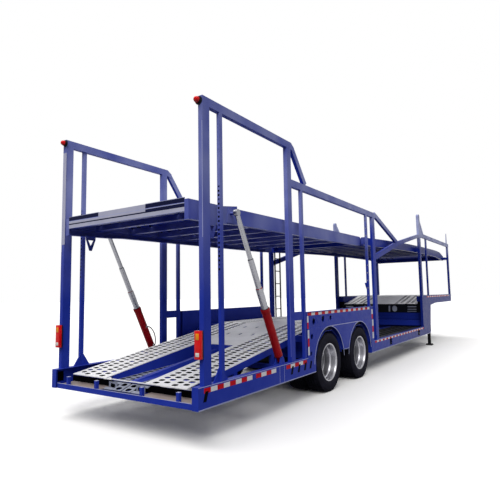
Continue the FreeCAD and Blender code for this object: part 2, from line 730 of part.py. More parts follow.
save("guide_posts", both_sides([guide_post(*row) for row in GUIDE_POSTS] + [neck_post()]))

# ================================================================ rails and braces
TOP_RAIL_END = 2215.0
MID_RAIL_END = 5790.0
BRACE_Y = (HALF - 55.0, HALF - 3.0)
KNEE = (7380.0, 2730.0)
# How far the rails' front ends are cut back, and how deep.
TOP_NOSE_BACK = 95.0
TOP_NOSE_FALL = 60.0
TOP_NOSE_FACE = 70.0
MID_NOSE_BACK = 30.0
MID_NOSE_FALL = 40.0
FRONT_RAIL_T = 50.0


def top_rail():
    """The highest rail over the rear posts, with a chamfered front end."""
    z0, z1 = TOP_RAIL_Z
    rear, front = MAIN_POSTS[0][0], MAIN_POSTS[1][1]
    shoulder = z1 - TOP_NOSE_FALL
    outline = [(rear, z0), (rear, z1), (TOP_RAIL_END - TOP_NOSE_BACK, z1), (TOP_RAIL_END, shoulder),
               (TOP_RAIL_END, shoulder - TOP_NOSE_FACE), (front, z0)]
    return prism(outline, HALF - RAIL_T, HALF)


def mid_rail():
    """The rail over the axles, from the ramp posts to the middle posts."""
    z0, z1 = MID_RAIL_Z
    rear, front = MAIN_POSTS[1][1], MAIN_POSTS[2][1]
    outline = [(rear, z0), (rear, z1), (front, z1), (MID_RAIL_END, z1 - MID_NOSE_FALL),
               (MID_RAIL_END - MID_NOSE_BACK, z0)]
    return prism(outline, HALF - RAIL_T, HALF)


def front_rail():
    """The rail over the gooseneck."""
    return box(NECK_POST[1], FRONT, HALF - FRONT_RAIL_T, HALF, *FRONT_RAIL_Z)


save("top_rails", both_sides([top_rail(), mid_rail(), front_rail()]))


# Each brace in the side plane: its first end, last end and depth.
UPPER_BRACE = ((2180.0, 3700.0), (2560.0, 3240.0), 90.0)
FALL_BRACE = ((5750.0, 3215.0), KNEE, 95.0)
LOWER_BRACE = ((5700.0, 2300.0), KNEE, 110.0)
RISE_BRACE = (KNEE, (NECK_POST[0], 3110.0), 95.0)


def diagonals():
    """The sloping braces between the rails and the upper deck's side."""
    upper = bar(*UPPER_BRACE, *BRACE_Y).cut(top_rail()).cut(mid_rail())
    fall = bar(*FALL_BRACE, *BRACE_Y).cut(mid_rail())
    lower = bar(*LOWER_BRACE, *BRACE_Y).cut(post(*MAIN_POSTS[2]))
    rise = bar(*RISE_BRACE, *BRACE_Y)
    rise = rise.cut(box(*NECK_POST, HALF - RAIL_T, HALF, MID_BEAM_TOP, NECK_POST_TOP))
    return [upper, fuse([fall, lower, rise])]


save("diagonal_braces", both_sides(diagonals()))

GUSSET_Y = (HALF - 46.0, HALF - 34.0)
FOOT_GUSSET = (100.0, 150.0)
TIE_Z = (1190.0, 1310.0)
TIE_Y = (HALF - 40.0, HALF - 10.0)
# Stations of the fin behind the neck post and of the spike over the foremost post.
FIN_X = (NECK_POST[1], NECK_POST[1] + 70.0, 10100.0)
FIN_TOP = 3630.0
SPIKE_X = (13250.0, 13330.0, 13380.0, 13420.0)
SPIKE_TOP = 3560.0
# The catch behind the axle deck's guide post: low, middle and high edges.
CATCH_Z = (1640.0, 1740.0, 1760.0)
CATCH_REACH = 80.0


def gussets():
    """Foot gussets, the plate between the ramp and stay posts, and the fins."""
    rear, front = GUIDE_POSTS[0][:2]
    wide, tall = FOOT_GUSSET
    low = REAR_BEAM_TOP
    feet = [prism([(front, low), (front, low + tall), (front + wide, low)], *GUSSET_Y),
            prism([(rear, low), (rear, low + tall), (rear - wide, low)], *GUSSET_Y)]
    tie = box(MAIN_POSTS[1][1], STAY_POSTS[0][0], *TIE_Y, *TIE_Z)
    rail_top = FRONT_RAIL_Z[1]
    x0, x1, x2 = FIN_X
    fin = prism([(x0, rail_top), (x1, FIN_TOP), (x2, rail_top)], *GUSSET_Y)
    x0, x1, x2, x3 = SPIKE_X
    spike = prism([(x0, rail_top), (x1, SPIKE_TOP), (x2, SPIKE_TOP), (x3, rail_top)], *GUSSET_Y)
    catch_x = GUIDE_POSTS[1][0]
    z0, z1, z2 = CATCH_Z
    tip = catch_x - CATCH_REACH
    catch = prism([(catch_x, z2), (catch_x, z0), (tip, z1), (tip, z2)], *GUSSET_Y)
    return feet + [tie, fin, spike, catch]


save("gussets", both_sides(gussets()))

# ================================================================ ladder, left side
LADDER_X = (5725.0, 5960.0)
LADDER_Y = (HALF - 85.0, HALF - 60.0)
STILE = 25.0
LADDER_TOP = 2620.0
RUNG_PITCH = 300.0
RUNGS = 6


RUNG_INSET = 3.0
RUNG_H = 20.0


def ladder():
    """A light ladder from the middle side beam up to the front deck's edge, on the left."""
    pieces = []
    for x in LADDER_X:
        pieces.append(box(x, x + STILE, *LADDER_Y, MID_BEAM_TOP, LADDER_TOP))
        pieces.append(box(x, x + STILE, FRONT_DECK_OUT, LADDER_Y[0], LADDER_TOP - STILE, LADDER_TOP))
    for i in range(1, RUNGS + 1):
        z = MID_BEAM_TOP + i * RUNG_PITCH
        pieces.append(box(LADDER_X[0], LADDER_X[1] + STILE, LADDER_Y[0] + RUNG_INSET,
                          LADDER_Y[1] - RUNG_INSET, z, z + RUNG_H))
    return fuse(pieces)


save("ladder", [ladder()])

# ================================================================ upper rear deck (tilts)
BEAM_INNER = DECK_OUT - DECK_FLANGE
REAR_PLATE_END = 5290.0
REAR_CROSS = tuple(500.0 + 600.0 * i for i in range(8))
KNUCKLE = 110.0


def rear_deck_z(x):
    """Height of the top edge of the tilting deck's side beams."""
    return between(x, REAR_DECK_START, REAR_DECK_SHOULDER, *REAR_DECK_TOP)


def under_rear_plate(x):
    """Height of the underside of the tilting deck's plates."""
    return rear_deck_z(x) - PLATE_SINK - PLATE


# The lower edge of the side beam, from the rear to the shoulder.
# columns: station, height
DECK_BELLY = ((REAR_DECK_START, 2410.0), (700.0, 2430.0), (1000.0, 2450.0), (5000.0, 2510.0),
              (REAR_DECK_SHOULDER, 2525.0))
HOLLOW_END = 5050.0
# The raised wedge on the beam over the cylinder's eye: rear station, front station, rise.
WEDGE = (680.0, 970.0, 35.0)


def rear_deck_beam():
    """A deep pressed side beam that tapers to the pivot, hollowed from the inside."""
    nose = PIVOT_X + PIVOT_PIN_R + 5
    outline = list(DECK_BELLY) + [(nose, PIVOT_Z - KNUCKLE / 2), (nose, PIVOT_Z + KNUCKLE / 2),
                                  (REAR_DECK_SHOULDER, REAR_DECK_TOP[1]),
                                  (REAR_DECK_START, rear_deck_z(REAR_DECK_START))]
    beam = prism(outline, BEAM_INNER, DECK_OUT)
    rear, front, rise = WEDGE
    wedge = prism([(rear, rear_deck_z(rear) - SHEET), (rear, rear_deck_z(rear)),
                   (front, rear_deck_z(front) + rise), (front, rear_deck_z(front) - SHEET)],
                  BEAM_INNER, DECK_OUT)
    start = REAR_DECK_START + SHEET
    floor = [(max(x, start), z + SHEET) for x, z in DECK_BELLY[:-1]]
    floor.append((HOLLOW_END, floor[-1][1]))
    roof = [(x, under_rear_plate(x) - CROSS_DEPTH) for x in (HOLLOW_END, start)]
    hollow = prism(floor + roof, BEAM_INNER - 1, DECK_OUT - DECK_WEB)
    bore = rod_y(PIVOT_X, PIVOT_Z, PIVOT_PIN_R + BEARING_GAP, BEAM_INNER - 1, DECK_OUT + 1)
    return fuse([beam, wedge]).cut(hollow).cut(bore)


END_CHANNEL = 60.0
STOP_RISE = 22.0


def end_channel():
    """The channel across the deck's rear edge, open to the rear, with a low stop over each track."""
    x0, x1 = REAR_DECK_START, REAR_DECK_START + END_CHANNEL
    top = under_rear_plate(x0)
    low = top - CROSS_DEPTH - SHEET
    outline = [(x0, top), (x1, top), (x1, low), (x0, low), (x0, low + SHEET), (x1 - SHEET, low + SHEET),
               (x1 - SHEET, top - SHEET), (x0, top - SHEET)]
    channel = prism(outline, -BEAM_INNER, BEAM_INNER)
    stop = box(x0, x0 + SHEET, DECK_SPLIT, BEAM_INNER, top - SHEET, rear_deck_z(x0) + STOP_RISE)
    return fuse([channel] + both_sides([stop]))


def rear_deck_cross():
    """Cross channels under the tilting deck's plates."""
    return [sloped(under_rear_plate, x, x + CROSS_W, CROSS_DEPTH, -BEAM_INNER, BEAM_INNER)
            for x in REAR_CROSS]


def rear_plate_z(x):
    """Height of the top of the tilting deck's plates."""
    return rear_deck_z(x) - PLATE_SINK


def deck_plate(y0, y1):
    """One lengthwise plate of the tilting deck."""
    return sloped(rear_plate_z, REAR_DECK_START + SHEET, REAR_PLATE_END, PLATE, y0, y1)


save("rear_deck_beams", both_sides([rear_deck_beam()]))
save("rear_deck_cross_members", rear_deck_cross() + [end_channel()])
save("rear_deck_plates", both_sides([deck_plate(DECK_SPLIT, BEAM_INNER)])
     + [deck_plate(DECK_SEAM - DECK_SPLIT, DECK_SPLIT - DECK_SEAM)])

# The brackets that carry the pins of the lift cylinders, and the lock plates behind them.
BRACKET_T = 10.0
BRACKET_Z = (2450.0, 2640.0)
BRACKET_HALF = (75.0, 30.0)
LOCK_X = (370.0, 530.0)
LOCK_Z = (2230.0, 2432.0)
LOCK_HOLE = 0.45
LOCK_HOLE_R = 45.0
LOCK_EDGE = 40.0
LOCK_TIP = 20.0
LOCK_TAB = 30.0
KNOB = (330.0, 2460.0, 28.0)
KNOB_W = 40.0


def rod_bracket():
    """A plate on the side beam with a pin stub towards the cylinder's eye."""
    x, z = CYL_EYE
    wide, narrow = BRACKET_HALF
    plate = prism([(x - wide, BRACKET_Z[0]), (x - narrow, BRACKET_Z[1]), (x + narrow, BRACKET_Z[1]),
                   (x + wide, BRACKET_Z[0])], DECK_OUT, DECK_OUT + BRACKET_T)
    stub = rod_y(x, z, EYE_PIN_R, DECK_OUT, CYL_Y - EYE_W / 2 - EYE_GAP)
    return fuse([plate, stub])


def lock_plate():
    """A plate triangle below the side beam, point down, with a triangular hole."""
    (x0, x1), (z0, z1) = LOCK_X, LOCK_Z
    mid = (x0 + x1) / 2
    face = DECK_OUT + BRACKET_T
    outer = [(x0, z1), (x1, z1), (x1, z1 - LOCK_EDGE), (mid + LOCK_TIP, z0), (mid - LOCK_TIP, z0),
             (x0, z1 - LOCK_EDGE)]
    centre_z = z1 - (z1 - z0) * LOCK_HOLE
    hole = [(mid - LOCK_HOLE_R, centre_z + LOCK_EDGE), (mid + LOCK_HOLE_R, centre_z + LOCK_EDGE),
            (mid, centre_z - LOCK_HOLE_R)]
    plate = prism(outer, DECK_OUT, face).cut(prism(hole, DECK_OUT - 1, face + 1))
    tab = box(x0, x1, DECK_OUT, face, z1, z1 + LOCK_TAB)
    return fuse([plate, tab])


def lock_knob():
    """The round end of the locking shaft on the side beam."""
    x, z, radius = KNOB
    return rod_y(x, z, radius, DECK_OUT, DECK_OUT + KNOB_W)


save("rod_brackets", both_sides([rod_bracket(), lock_plate(), lock_knob()]))

# ================================================================ upper front deck (fixed)
FRONT_DECK_START = 5420.0
ARC_END = 12200.0
NOSE_X = 13240.0
TOP_ARC = ((FRONT_DECK_START, 2700.0), (8600.0, 2835.0), (ARC_END, 2890.0))
LOW_ARC = ((FRONT_DECK_START, 2530.0), (8600.0, 2650.0), (ARC_END, 2690.0))
NOSE_BEND = (12700.0, 20.0)
NOSE_DROP = 130.0
NOSE_LOW = 2620.0
FRONT_INNER = FRONT_DECK_OUT - DECK_FLANGE
FRONT_SINK = 35.0
FRONT_CROSS = tuple(5560.0 + 640.0 * i for i in range(11))


def arc_height(arc, x):
    """Height at a station of the circle through an arc's three points."""
    (xa, za), (xb, zb), (xc, zc) = arc
    d = 2 * (xa * (zb - zc) + xb * (zc - za) + xc * (za - zb))
    sa, sb, sc = xa * xa + za * za, xb * xb + zb * zb, xc * xc + zc * zc
    cx = (sa * (zb - zc) + sb * (zc - za) + sc * (za - zb)) / d
    cz = (sa * (xc - xb) + sb * (xa - xc) + sc * (xb - xa)) / d
    radius = math.hypot(xa - cx, za - cz)
    return cz + math.copysign(math.sqrt(radius * radius - (x - cx) ** 2), za - cz)


def front_deck_beam():
    """The arched side plate with its drooping nose."""
    top, low = TOP_ARC[2][1], LOW_ARC[2][1]
    main = arc_plate(TOP_ARC, LOW_ARC, FRONT_INNER, FRONT_DECK_OUT)
    nose = prism([(ARC_END, low), (ARC_END, top), (NOSE_BEND[0], top - NOSE_BEND[1]),
                  (NOSE_X, top - NOSE_DROP), (NOSE_X, NOSE_LOW)], FRONT_INNER, FRONT_DECK_OUT)
    return fuse([main, nose])


def front_deck_cross():
    """Cross channels under the arched deck, and the header at its nose."""
    members = []
    for x in FRONT_CROSS:
        top = min(arc_height(TOP_ARC, x), arc_height(TOP_ARC, x + CROSS_W)) - FRONT_SINK - PLATE
        members.append(box(x, x + CROSS_W, -FRONT_INNER, FRONT_INNER, top - CROSS_DEPTH, top))
    header_top = TOP_ARC[2][1] - NOSE_DROP - FRONT_SINK - PLATE
    header = box(NOSE_X - HEADER, NOSE_X, -FRONT_INNER, FRONT_INNER, NOSE_LOW + PLATE, header_top)
    return members + [header]


def sunk(arc, drop):
    """An arc lowered by a drop."""
    return tuple((x, z - drop) for x, z in arc)


def front_deck_plate(y0, y1):
    """A plate that follows the arched side beams, down to the nose."""
    main = arc_plate(sunk(TOP_ARC, FRONT_SINK), sunk(TOP_ARC, FRONT_SINK + PLATE), y0, y1)
    z = TOP_ARC[2][1] - FRONT_SINK
    bend, drop = NOSE_BEND
    nose = prism([(ARC_END, z - PLATE), (ARC_END, z), (bend, z - drop), (NOSE_X, z - NOSE_DROP),
                  (NOSE_X, z - NOSE_DROP - PLATE), (bend, z - drop - PLATE)], y0, y1)
    return fuse([main, nose])


save("front_deck_beams", both_sides([front_deck_beam()]))
save("front_deck_cross_members", front_deck_cross())
save("front_deck_plates", both_sides([front_deck_plate(DECK_SPLIT, FRONT_INNER)])
     + [front_deck_plate(DECK_SEAM - DECK_SPLIT, DECK_SPLIT - DECK_SEAM)])


# columns: rear station, front station, outer face, low, high
HANGERS = (
    (PIVOT_X - 60.0, MAIN_POSTS[2][1] - 25.0, HALF - RAIL_T, 2540.0, 2690.0),
    (*NECK_POST, HALF - RAIL_T, 2660.0, 2800.0),
    (13100.0, MAIN_POSTS[3][1], HALF - MAIN_POSTS[3][2], 2640.0, 2720.0),
)


def deck_hangers():
    """Blocks between the posts and the fixed deck; the first carries the tilting deck's pivot pin."""
    x0, x1, inner, z0, z1 = HANGERS[0]
    rear_block = box(x0, x1, FRONT_DECK_OUT, inner, z0, z1)
    pin = rod_y(PIVOT_X, PIVOT_Z, PIVOT_PIN_R, BEAM_INNER, FRONT_DECK_OUT)
    others = [box(x0, x1, FRONT_DECK_OUT, inner, z0, z1) for x0, x1, inner, z0, z1 in HANGERS[1:]]
    return [fuse([rear_block, pin])] + others


save("deck_hangers", both_sides(deck_hangers()))


# ================================================================ lift cylinders
def cylinder_frame():
    """Foot, direction and full length of a lift cylinder at rest."""
    foot = Vector(CYL_FOOT[0], CYL_Y, CYL_FOOT[1])
    along = Vector(CYL_EYE[0], CYL_Y, CYL_EYE[1]).sub(foot)
    return foot, Vector(along).normalize(), along.Length


def round_along(radius, start, end):
    """A round bar on the cylinder's axis, between two distances from the foot pin."""
    foot, along, _ = cylinder_frame()
    return Part.makeCylinder(radius, end - start, foot + along * start, along)


EAR_R = 46.0
EAR_T = 14.0
EAR_FOOT = 70.0
LUG_R = 36.0
LUG_HALF = 26.0
EAR_GAP = 5.0
COLLAR = 45.0
COLLAR_RISE = 5.0
MOUNT_BASE = 10.0
MOUNT_EDGE = 20.0
EAR_CROWN = 0.8


def barrel():
    """The outer tube with a collar at its mouth and a lug on its foot pin."""
    tube = round_along(BARREL_R, EAR_R + EAR_GAP, BARREL_TOP)
    collar = round_along(BARREL_R + COLLAR_RISE, BARREL_TOP - COLLAR, BARREL_TOP)
    foot, along, _ = cylinder_frame()
    tail, head = foot - along * LUG_R, foot + along * BARREL_BASE
    lug = bar((tail.x, tail.z), (head.x, head.z), 2 * LUG_HALF, CYL_Y - LUG_HALF, CYL_Y + LUG_HALF)
    body = fuse([tube, collar, lug])
    body = body.cut(round_along(STAGE_RADII[0] + SLIDE_GAP, BARREL_BASE, BARREL_TOP + 1))
    return body.cut(rod_y(*CYL_FOOT, FOOT_PIN_R + BEARING_GAP, CYL_Y - LUG_R, CYL_Y + LUG_R))


def stage(number):
    """A sliding stage: 0 and 1 are tubes, each round the next."""
    top = STAGE_TOPS[number]
    outer = round_along(STAGE_RADII[number], top - STAGE_LENGTH, top)
    return outer.cut(round_along(STAGE_RADII[number + 1] + SLIDE_GAP, top - STAGE_LENGTH - 1, top + 1))


def rod():
    """The last stage with its eye."""
    reach = cylinder_frame()[2]
    shank = round_along(STAGE_RADII[2], STAGE_TOPS[1] - ROD_OVERLAP, reach - EYE_R / 2)
    eye = rod_y(*CYL_EYE, EYE_R, CYL_Y - EYE_W / 2, CYL_Y + EYE_W / 2)
    return fuse([shank, eye])


def foot_mount():
    """Two ears on the side beam with the foot pin between them."""
    x, z = CYL_FOOT
    low = REAR_BEAM_TOP
    crown = z + EAR_R * EAR_CROWN
    ear = [(x - EAR_FOOT, low), (x - EAR_R, z), (x - EAR_R / 2, crown), (x + EAR_R / 2, crown),
           (x + EAR_R, z), (x + EAR_FOOT, low)]
    near = LUG_HALF + EAR_GAP
    pieces = [prism(ear, y, y + EAR_T) for y in (CYL_Y - near - EAR_T, CYL_Y + near)]
    pin_half = LUG_HALF + EAR_GAP + EAR_T
    pieces.append(rod_y(x, z, FOOT_PIN_R, CYL_Y - pin_half, CYL_Y + pin_half))
    half_base = EAR_FOOT + MOUNT_EDGE
    pieces.append(box(x - half_base, x + half_base, BEAM_INNER_Y, HALF - EAR_GAP, low, low + MOUNT_BASE))
    return fuse(pieces)


save("cylinder_mounts", both_sides([foot_mount()]))
for side, turn in (("left", lambda shape: shape), ("right", mirrored)):
    save("barrel_" + side, [turn(barrel())])
    save("first_stage_" + side, [turn(stage(0))])
    save("second_stage_" + side, [turn(stage(1))])
    save("rod_" + side, [turn(rod())])

# ================================================================ axles, wheels and springs
OUTER_TYRE_Y = HALF - TYRE_W / 2
TWIN_Y = OUTER_TYRE_Y - TWIN_PITCH / 2
HUB_OUT = 130.0
HUB_CAP_R = 72.0
HUB_FLANGE_R = 120.0
DISC_R = 170.0
# The tyre's wall is widest at this share of its height; its tread is narrower.
WALL_SHARE = 0.45
SHOULDER_DROP = 31.0
SHOULDER_IN = 8.0
TREAD_IN = 34.0
DISC_HALF = 8.0
DRUM_BACK = 300.0
CAP_T = 12.0


def spin_profile(profile, x, y):
    """A ring turned about an axle: profile of (distance across, radius)."""
    wire = Part.makePolygon([Vector(0, d, r) for d, r in profile + profile[:1]])
    ring = Part.Face(wire).revolve(Vector(0, 0, 0), Vector(0, 1, 0), 360)
    return ring.translated(Vector(x, y, AXLE_Z))


def tyre(x, y):
    """A tyre ring with bulged walls and round shoulders."""
    wide, radius, seat = TYRE_W / 2, TYRE_D / 2, RIM_SEAT_D / 2
    half = [(RIM_HALF - SEAT_GAP, seat), (wide, seat + (radius - seat) * WALL_SHARE),
            (wide - SHOULDER_IN, radius - SHOULDER_DROP), (wide - TREAD_IN, radius)]
    profile = half + [(-d, r) for d, r in half[::-1]]
    return spin_profile(profile, x, y)


def wheel_centre(x):
    """Both rims with their dished discs, the hub and the brake drum, as one turning piece."""
    seat = RIM_SEAT_D / 2 - SEAT_GAP
    wall = seat - RIM_WALL
    half_pitch = TWIN_PITCH / 2
    inner_end, outer_end = half_pitch - RIM_HALF, half_pitch + RIM_HALF
    dish = DISC_HALF + wall - DISC_R
    rim = [(dish * 0.6 + DISC_HALF, wall), (outer_end + RIM_WALL, wall),
           (outer_end + RIM_WALL, seat + FLANGE_RISE), (outer_end, seat), (inner_end, seat)]
    on_cone = (rim[0][0] - DISC_HALF) / (wall - DISC_R)
    drum_start = DISC_HALF + (DRUM_R - DISC_R) * on_cone
    profile = [(HUB_OUT, 0), (HUB_OUT, HUB_CAP_R), (DISC_HALF, HUB_FLANGE_R), (DISC_HALF, DISC_R)] + rim
    profile += [(0, DISC_R + 2)] + [(-d, r) for d, r in rim[::-1]]
    profile += [(-drum_start, DRUM_R), (-DRUM_BACK, DRUM_R), (-DRUM_BACK, SPINDLE_R + BEARING_GAP),
                (HUB_OUT - CAP_T, SPINDLE_R + BEARING_GAP), (HUB_OUT - CAP_T, 0)]
    return spin_profile(profile, x, TWIN_Y)


BRAKE_PLATE = 125.0
BRAKE_PLATE_T = 10.0
DRUM_GAP = 22.0


def axle_beam(x):
    """A square axle tube with spindles and the plates that carry the brake shoes."""
    half = TWIN_Y - DRUM_BACK - DRUM_GAP
    side = AXLE_TUBE / 2
    end = TWIN_Y + HUB_OUT - CAP_T - BRAKE_PLATE_T / 2
    pieces = [box(x - side, x + side, -half, half, AXLE_Z - side, AXLE_Z + side),
              rod_y(x, AXLE_Z, SPINDLE_R, -end, end)]
    for y in (half - BRAKE_PLATE_T, -half):
        pieces.append(box(x - BRAKE_PLATE, x + BRAKE_PLATE, y, y + BRAKE_PLATE_T, AXLE_Z - BRAKE_PLATE,
                          AXLE_Z + BRAKE_PLATE))
    return fuse(pieces)


save("axle_beams", [axle_beam(x) for x in AXLE_STATIONS])
SPRING_Y = 440.0
SPRING_W = 90.0
SPRING_RISE = 100.0
LEAF_T = 14.0
LEAF_REACH = (470.0, 380.0, 280.0)
SEAT = (90.0, 60.0, 60.0)
HANGER_STATIONS = (AXLE_STATIONS[0] - 560, (AXLE_STATIONS[0] + AXLE_STATIONS[1]) / 2, AXLE_STATIONS[1] + 560)


def leaf_spring(x):
    """A leaf pack over the axle, bent down to its seat block."""
    z = AXLE_Z + AXLE_TUBE / 2
    leaves = [box(x - SEAT[0], x + SEAT[0], SPRING_Y - SEAT[1], SPRING_Y + SEAT[1], z, z + SEAT[2] + LEAF_T)]
    for i, reach in enumerate(LEAF_REACH):
        tip, mid = z + SPRING_RISE - i * LEAF_T, z + SEAT[2] + LEAF_T * (2 - i)
        outline = [(x - reach, tip), (x, mid), (x + reach, tip), (x + reach, tip - LEAF_T), (x, mid - LEAF_T),
                   (x - reach, tip - LEAF_T)]
        leaves.append(prism(outline, SPRING_Y - SPRING_W / 2, SPRING_Y + SPRING_W / 2))
    return fuse(leaves)


# The hanger's half lengths at its top, waist and foot, its foot's height and its half width.
HANGER_HALF = (110.0, 70.0, 130.0)
HANGER_FOOT = 60.0
HANGER_WIDE = 55.0


def spring_hanger(x):
    """A fabricated hanger below the frame rail, with a foot that takes the springs' ends."""
    z = AXLE_Z + AXLE_TUBE / 2 + SPRING_RISE
    top, waist, foot = HANGER_HALF
    leg = [(x - top, RAIL_BOTTOM), (x + top, RAIL_BOTTOM), (x + waist, z + HANGER_FOOT), (x + foot, z),
           (x - foot, z), (x - waist, z + HANGER_FOOT)]
    return prism(leg, SPRING_Y - HANGER_WIDE, SPRING_Y + HANGER_WIDE)


save("leaf_springs", both_sides([leaf_spring(x) for x in AXLE_STATIONS]))
save("spring_hangers", both_sides([spring_hanger(x) for x in HANGER_STATIONS]))

for place, x in (("rear", AXLE_STATIONS[0]), ("front", AXLE_STATIONS[1])):
    tyres = [tyre(x, OUTER_TYRE_Y), tyre(x, OUTER_TYRE_Y - TWIN_PITCH)]
    centre = wheel_centre(x)
    save("tyres_" + place + "_left", tyres)
    save("wheel_" + place + "_left", [centre])
    save("tyres_" + place + "_right", [mirrored(ring) for ring in tyres])
    save("wheel_" + place + "_right", [mirrored(centre)])

# ================================================================ lamps
LAMP_W = 85.0
LAMP_T = 62.0
LAMP_Z = (905.0, 1202.0)
MARKER = (50.0, 26.0, 76.0)
MARKER_Z = 3735.0


def tail_lamp():
    """A tall lamp box behind each rear post."""
    face = MAIN_POSTS[0][0]
    return box(face - LAMP_T, face, HALF - LAMP_W, HALF - DECK_SEAM, *LAMP_Z)


def marker_lamp():
    """A rubber cone at the top of each rear post, with its lens at the small end."""
    wide, narrow, reach = MARKER
    face = MAIN_POSTS[0][0]
    return Part.makeCone(narrow, wide, reach, Vector(face - reach, HALF - wide, MARKER_Z), Vector(1, 0, 0))


save("tail_lamps", both_sides([tail_lamp()]))
save("marker_lamps", both_sides([marker_lamp()]))
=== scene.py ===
import math

import bmesh
import bpy
from bpy.props import FloatProperty, FloatVectorProperty, IntProperty, PointerProperty
from mathutils import Matrix, Vector


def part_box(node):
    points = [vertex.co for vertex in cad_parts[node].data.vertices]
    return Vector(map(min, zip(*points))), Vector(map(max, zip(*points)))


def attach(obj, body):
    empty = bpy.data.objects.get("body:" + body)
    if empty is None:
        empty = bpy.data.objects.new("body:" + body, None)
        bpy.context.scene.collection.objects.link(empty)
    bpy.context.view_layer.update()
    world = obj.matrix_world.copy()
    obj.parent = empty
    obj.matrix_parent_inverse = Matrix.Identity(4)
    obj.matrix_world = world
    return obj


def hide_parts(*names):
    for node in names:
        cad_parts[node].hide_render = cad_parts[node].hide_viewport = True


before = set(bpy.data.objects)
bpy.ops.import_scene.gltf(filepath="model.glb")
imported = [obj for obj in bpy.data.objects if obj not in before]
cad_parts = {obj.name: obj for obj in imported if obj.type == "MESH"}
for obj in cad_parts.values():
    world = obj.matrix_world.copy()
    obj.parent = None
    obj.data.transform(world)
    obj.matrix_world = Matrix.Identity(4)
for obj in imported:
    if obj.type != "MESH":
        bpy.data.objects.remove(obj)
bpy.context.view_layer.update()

# Finishes a two-axle, double-deck car carrier semi-trailer: paint, pressed track plates,
# tyres, wheel nuts, cylinder seals, lamps and reflective tape. Metres. +X points to the
# gooseneck, +Y to the left side. Stations along the trailer are measured from its rear end.

bl_info = {
    "name": "Car carrier semi-trailer",
    "version": (1, 0, 0),
    "blender": (4, 5, 0),
    "location": "3D View > Sidebar > Car carrier",
    "description": "Finishes the jointed model of a double-deck car carrier semi-trailer",
    "category": "Object",
}

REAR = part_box("side_beams")[0].x
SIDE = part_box("side_beams")[1].y
ALL_SIDES = (1, -1)
WHEEL_PLACES = ("rear_left", "rear_right", "front_left", "front_right")


# ================================================================ small helpers
def linear(code):
    """Linear colour of an sRGB hex value."""
    parts = [int(code[i:i + 2], 16) / 255 for i in (0, 2, 4)]
    return tuple(c / 12.92 if c <= 0.04045 else ((c + 0.055) / 1.055) ** 2.4 for c in parts) + (1.0,)


def node(tree, kind, inputs=None, **settings):
    """Adds a node to a tree, with its settings, and its inputs as links or constants."""
    made = tree.nodes.new(kind)
    for name, value in settings.items():
        setattr(made, name, value)
    for socket, value in (inputs or {}).items():
        if isinstance(value, bpy.types.NodeSocket):
            tree.links.new(value, made.inputs[socket])
        else:
            made.inputs[socket].default_value = value
    return made


def at(station, y=0.0, z=0.0):
    """A point from its station along the trailer."""
    return Vector((REAR + station, y, z))


def span(side, one, two):
    """Two distances from the middle as low and high Y on one side."""
    return sorted((side * one, side * two))


def show(name, data):
    """A new object in the scene."""
    made = bpy.data.objects.new(name, data)
    bpy.context.scene.collection.objects.link(made)
    return made


def baked(helpers):
    """The plain mesh of the first helper with its modifiers; the helpers go."""
    graph = bpy.context.evaluated_depsgraph_get()
    mesh = bpy.data.meshes.new_from_object(helpers[0].evaluated_get(graph))
    for helper in helpers:
        bpy.data.objects.remove(helper)
    return mesh


def as_mesh(bm, name="part"):
    """A bmesh as a mesh."""
    mesh = bpy.data.meshes.new(name)
    bm.to_mesh(mesh)
    bm.free()
    return mesh


def keep(bm):
    """A closed bmesh as a mesh, its faces outward."""
    bmesh.ops.recalc_face_normals(bm, faces=bm.faces)
    return as_mesh(bm)


def sew(bm, rows, ring=False):
    """Quads from each row of points to the next; a ring joins the last row to the first."""
    pairs = list(zip(rows, rows[1:])) + ([(rows[-1], rows[0])] if ring else [])
    count = len(rows[0])
    turns = [(i, (i + 1) % count) for i in range(count)]
    return [bm.faces.new((one[i], one[j], two[j], two[i])) for one, two in pairs for i, j in turns]


def cap(bm, rows):
    """Closes both ends of sewn rows."""
    bm.faces.new(rows[0][::-1])
    bm.faces.new(rows[-1])


def bar(sections):
    """A closed bar through cross sections, each a ring of points."""
    bm = bmesh.new()
    rows = [[bm.verts.new(point) for point in section] for section in sections]
    sew(bm, rows)
    bm.faces.new(rows[0])
    bm.faces.new(rows[-1][::-1])
    return keep(bm)


def assemble(name, parts, body, crease=None, weld=0.0, under=None):
    """One finished piece out of (mesh, material) parts; edges sharper than crease degrees stay hard.

    Faces that look down get the under finish, where one is given."""
    whole, layers = bmesh.new(), []
    for mesh, finish in parts:
        if finish not in layers:
            layers.append(finish)
        first = len(whole.faces)
        whole.from_mesh(mesh)
        whole.faces.ensure_lookup_table()
        for face in whole.faces[first:]:
            face.material_index = layers.index(finish)
    if weld:
        bmesh.ops.remove_doubles(whole, verts=whole.verts, dist=weld)
    if under:
        layers.append(under)
        whole.normal_update()
        for face in whole.faces:
            if face.normal.z < -0.7:
                face.material_index = len(layers) - 1
    mesh = as_mesh(whole, name)
    for finish in layers:
        mesh.materials.append(finish)
    if crease is not None:
        mesh.polygons.foreach_set("use_smooth", [True] * len(mesh.polygons))
        mesh.set_sharp_from_angle(angle=math.radians(crease))
    piece = show(name, mesh)
    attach(piece, body)
    return piece


def block(low, high, bevel=0.0):
    """A block between two corners, its edges rounded by bevel."""
    bm = bmesh.new()
    low, high = Vector(low), Vector(high)
    place = Matrix.Translation((low + high) / 2) @ Matrix.Diagonal((*[abs(c) for c in high - low], 1))
    bmesh.ops.create_cube(bm, size=1, matrix=place)
    if bevel:
        bmesh.ops.bevel(bm, geom=bm.edges[:], offset=bevel, segments=2, profile=0.5, affect="EDGES")
    return keep(bm)


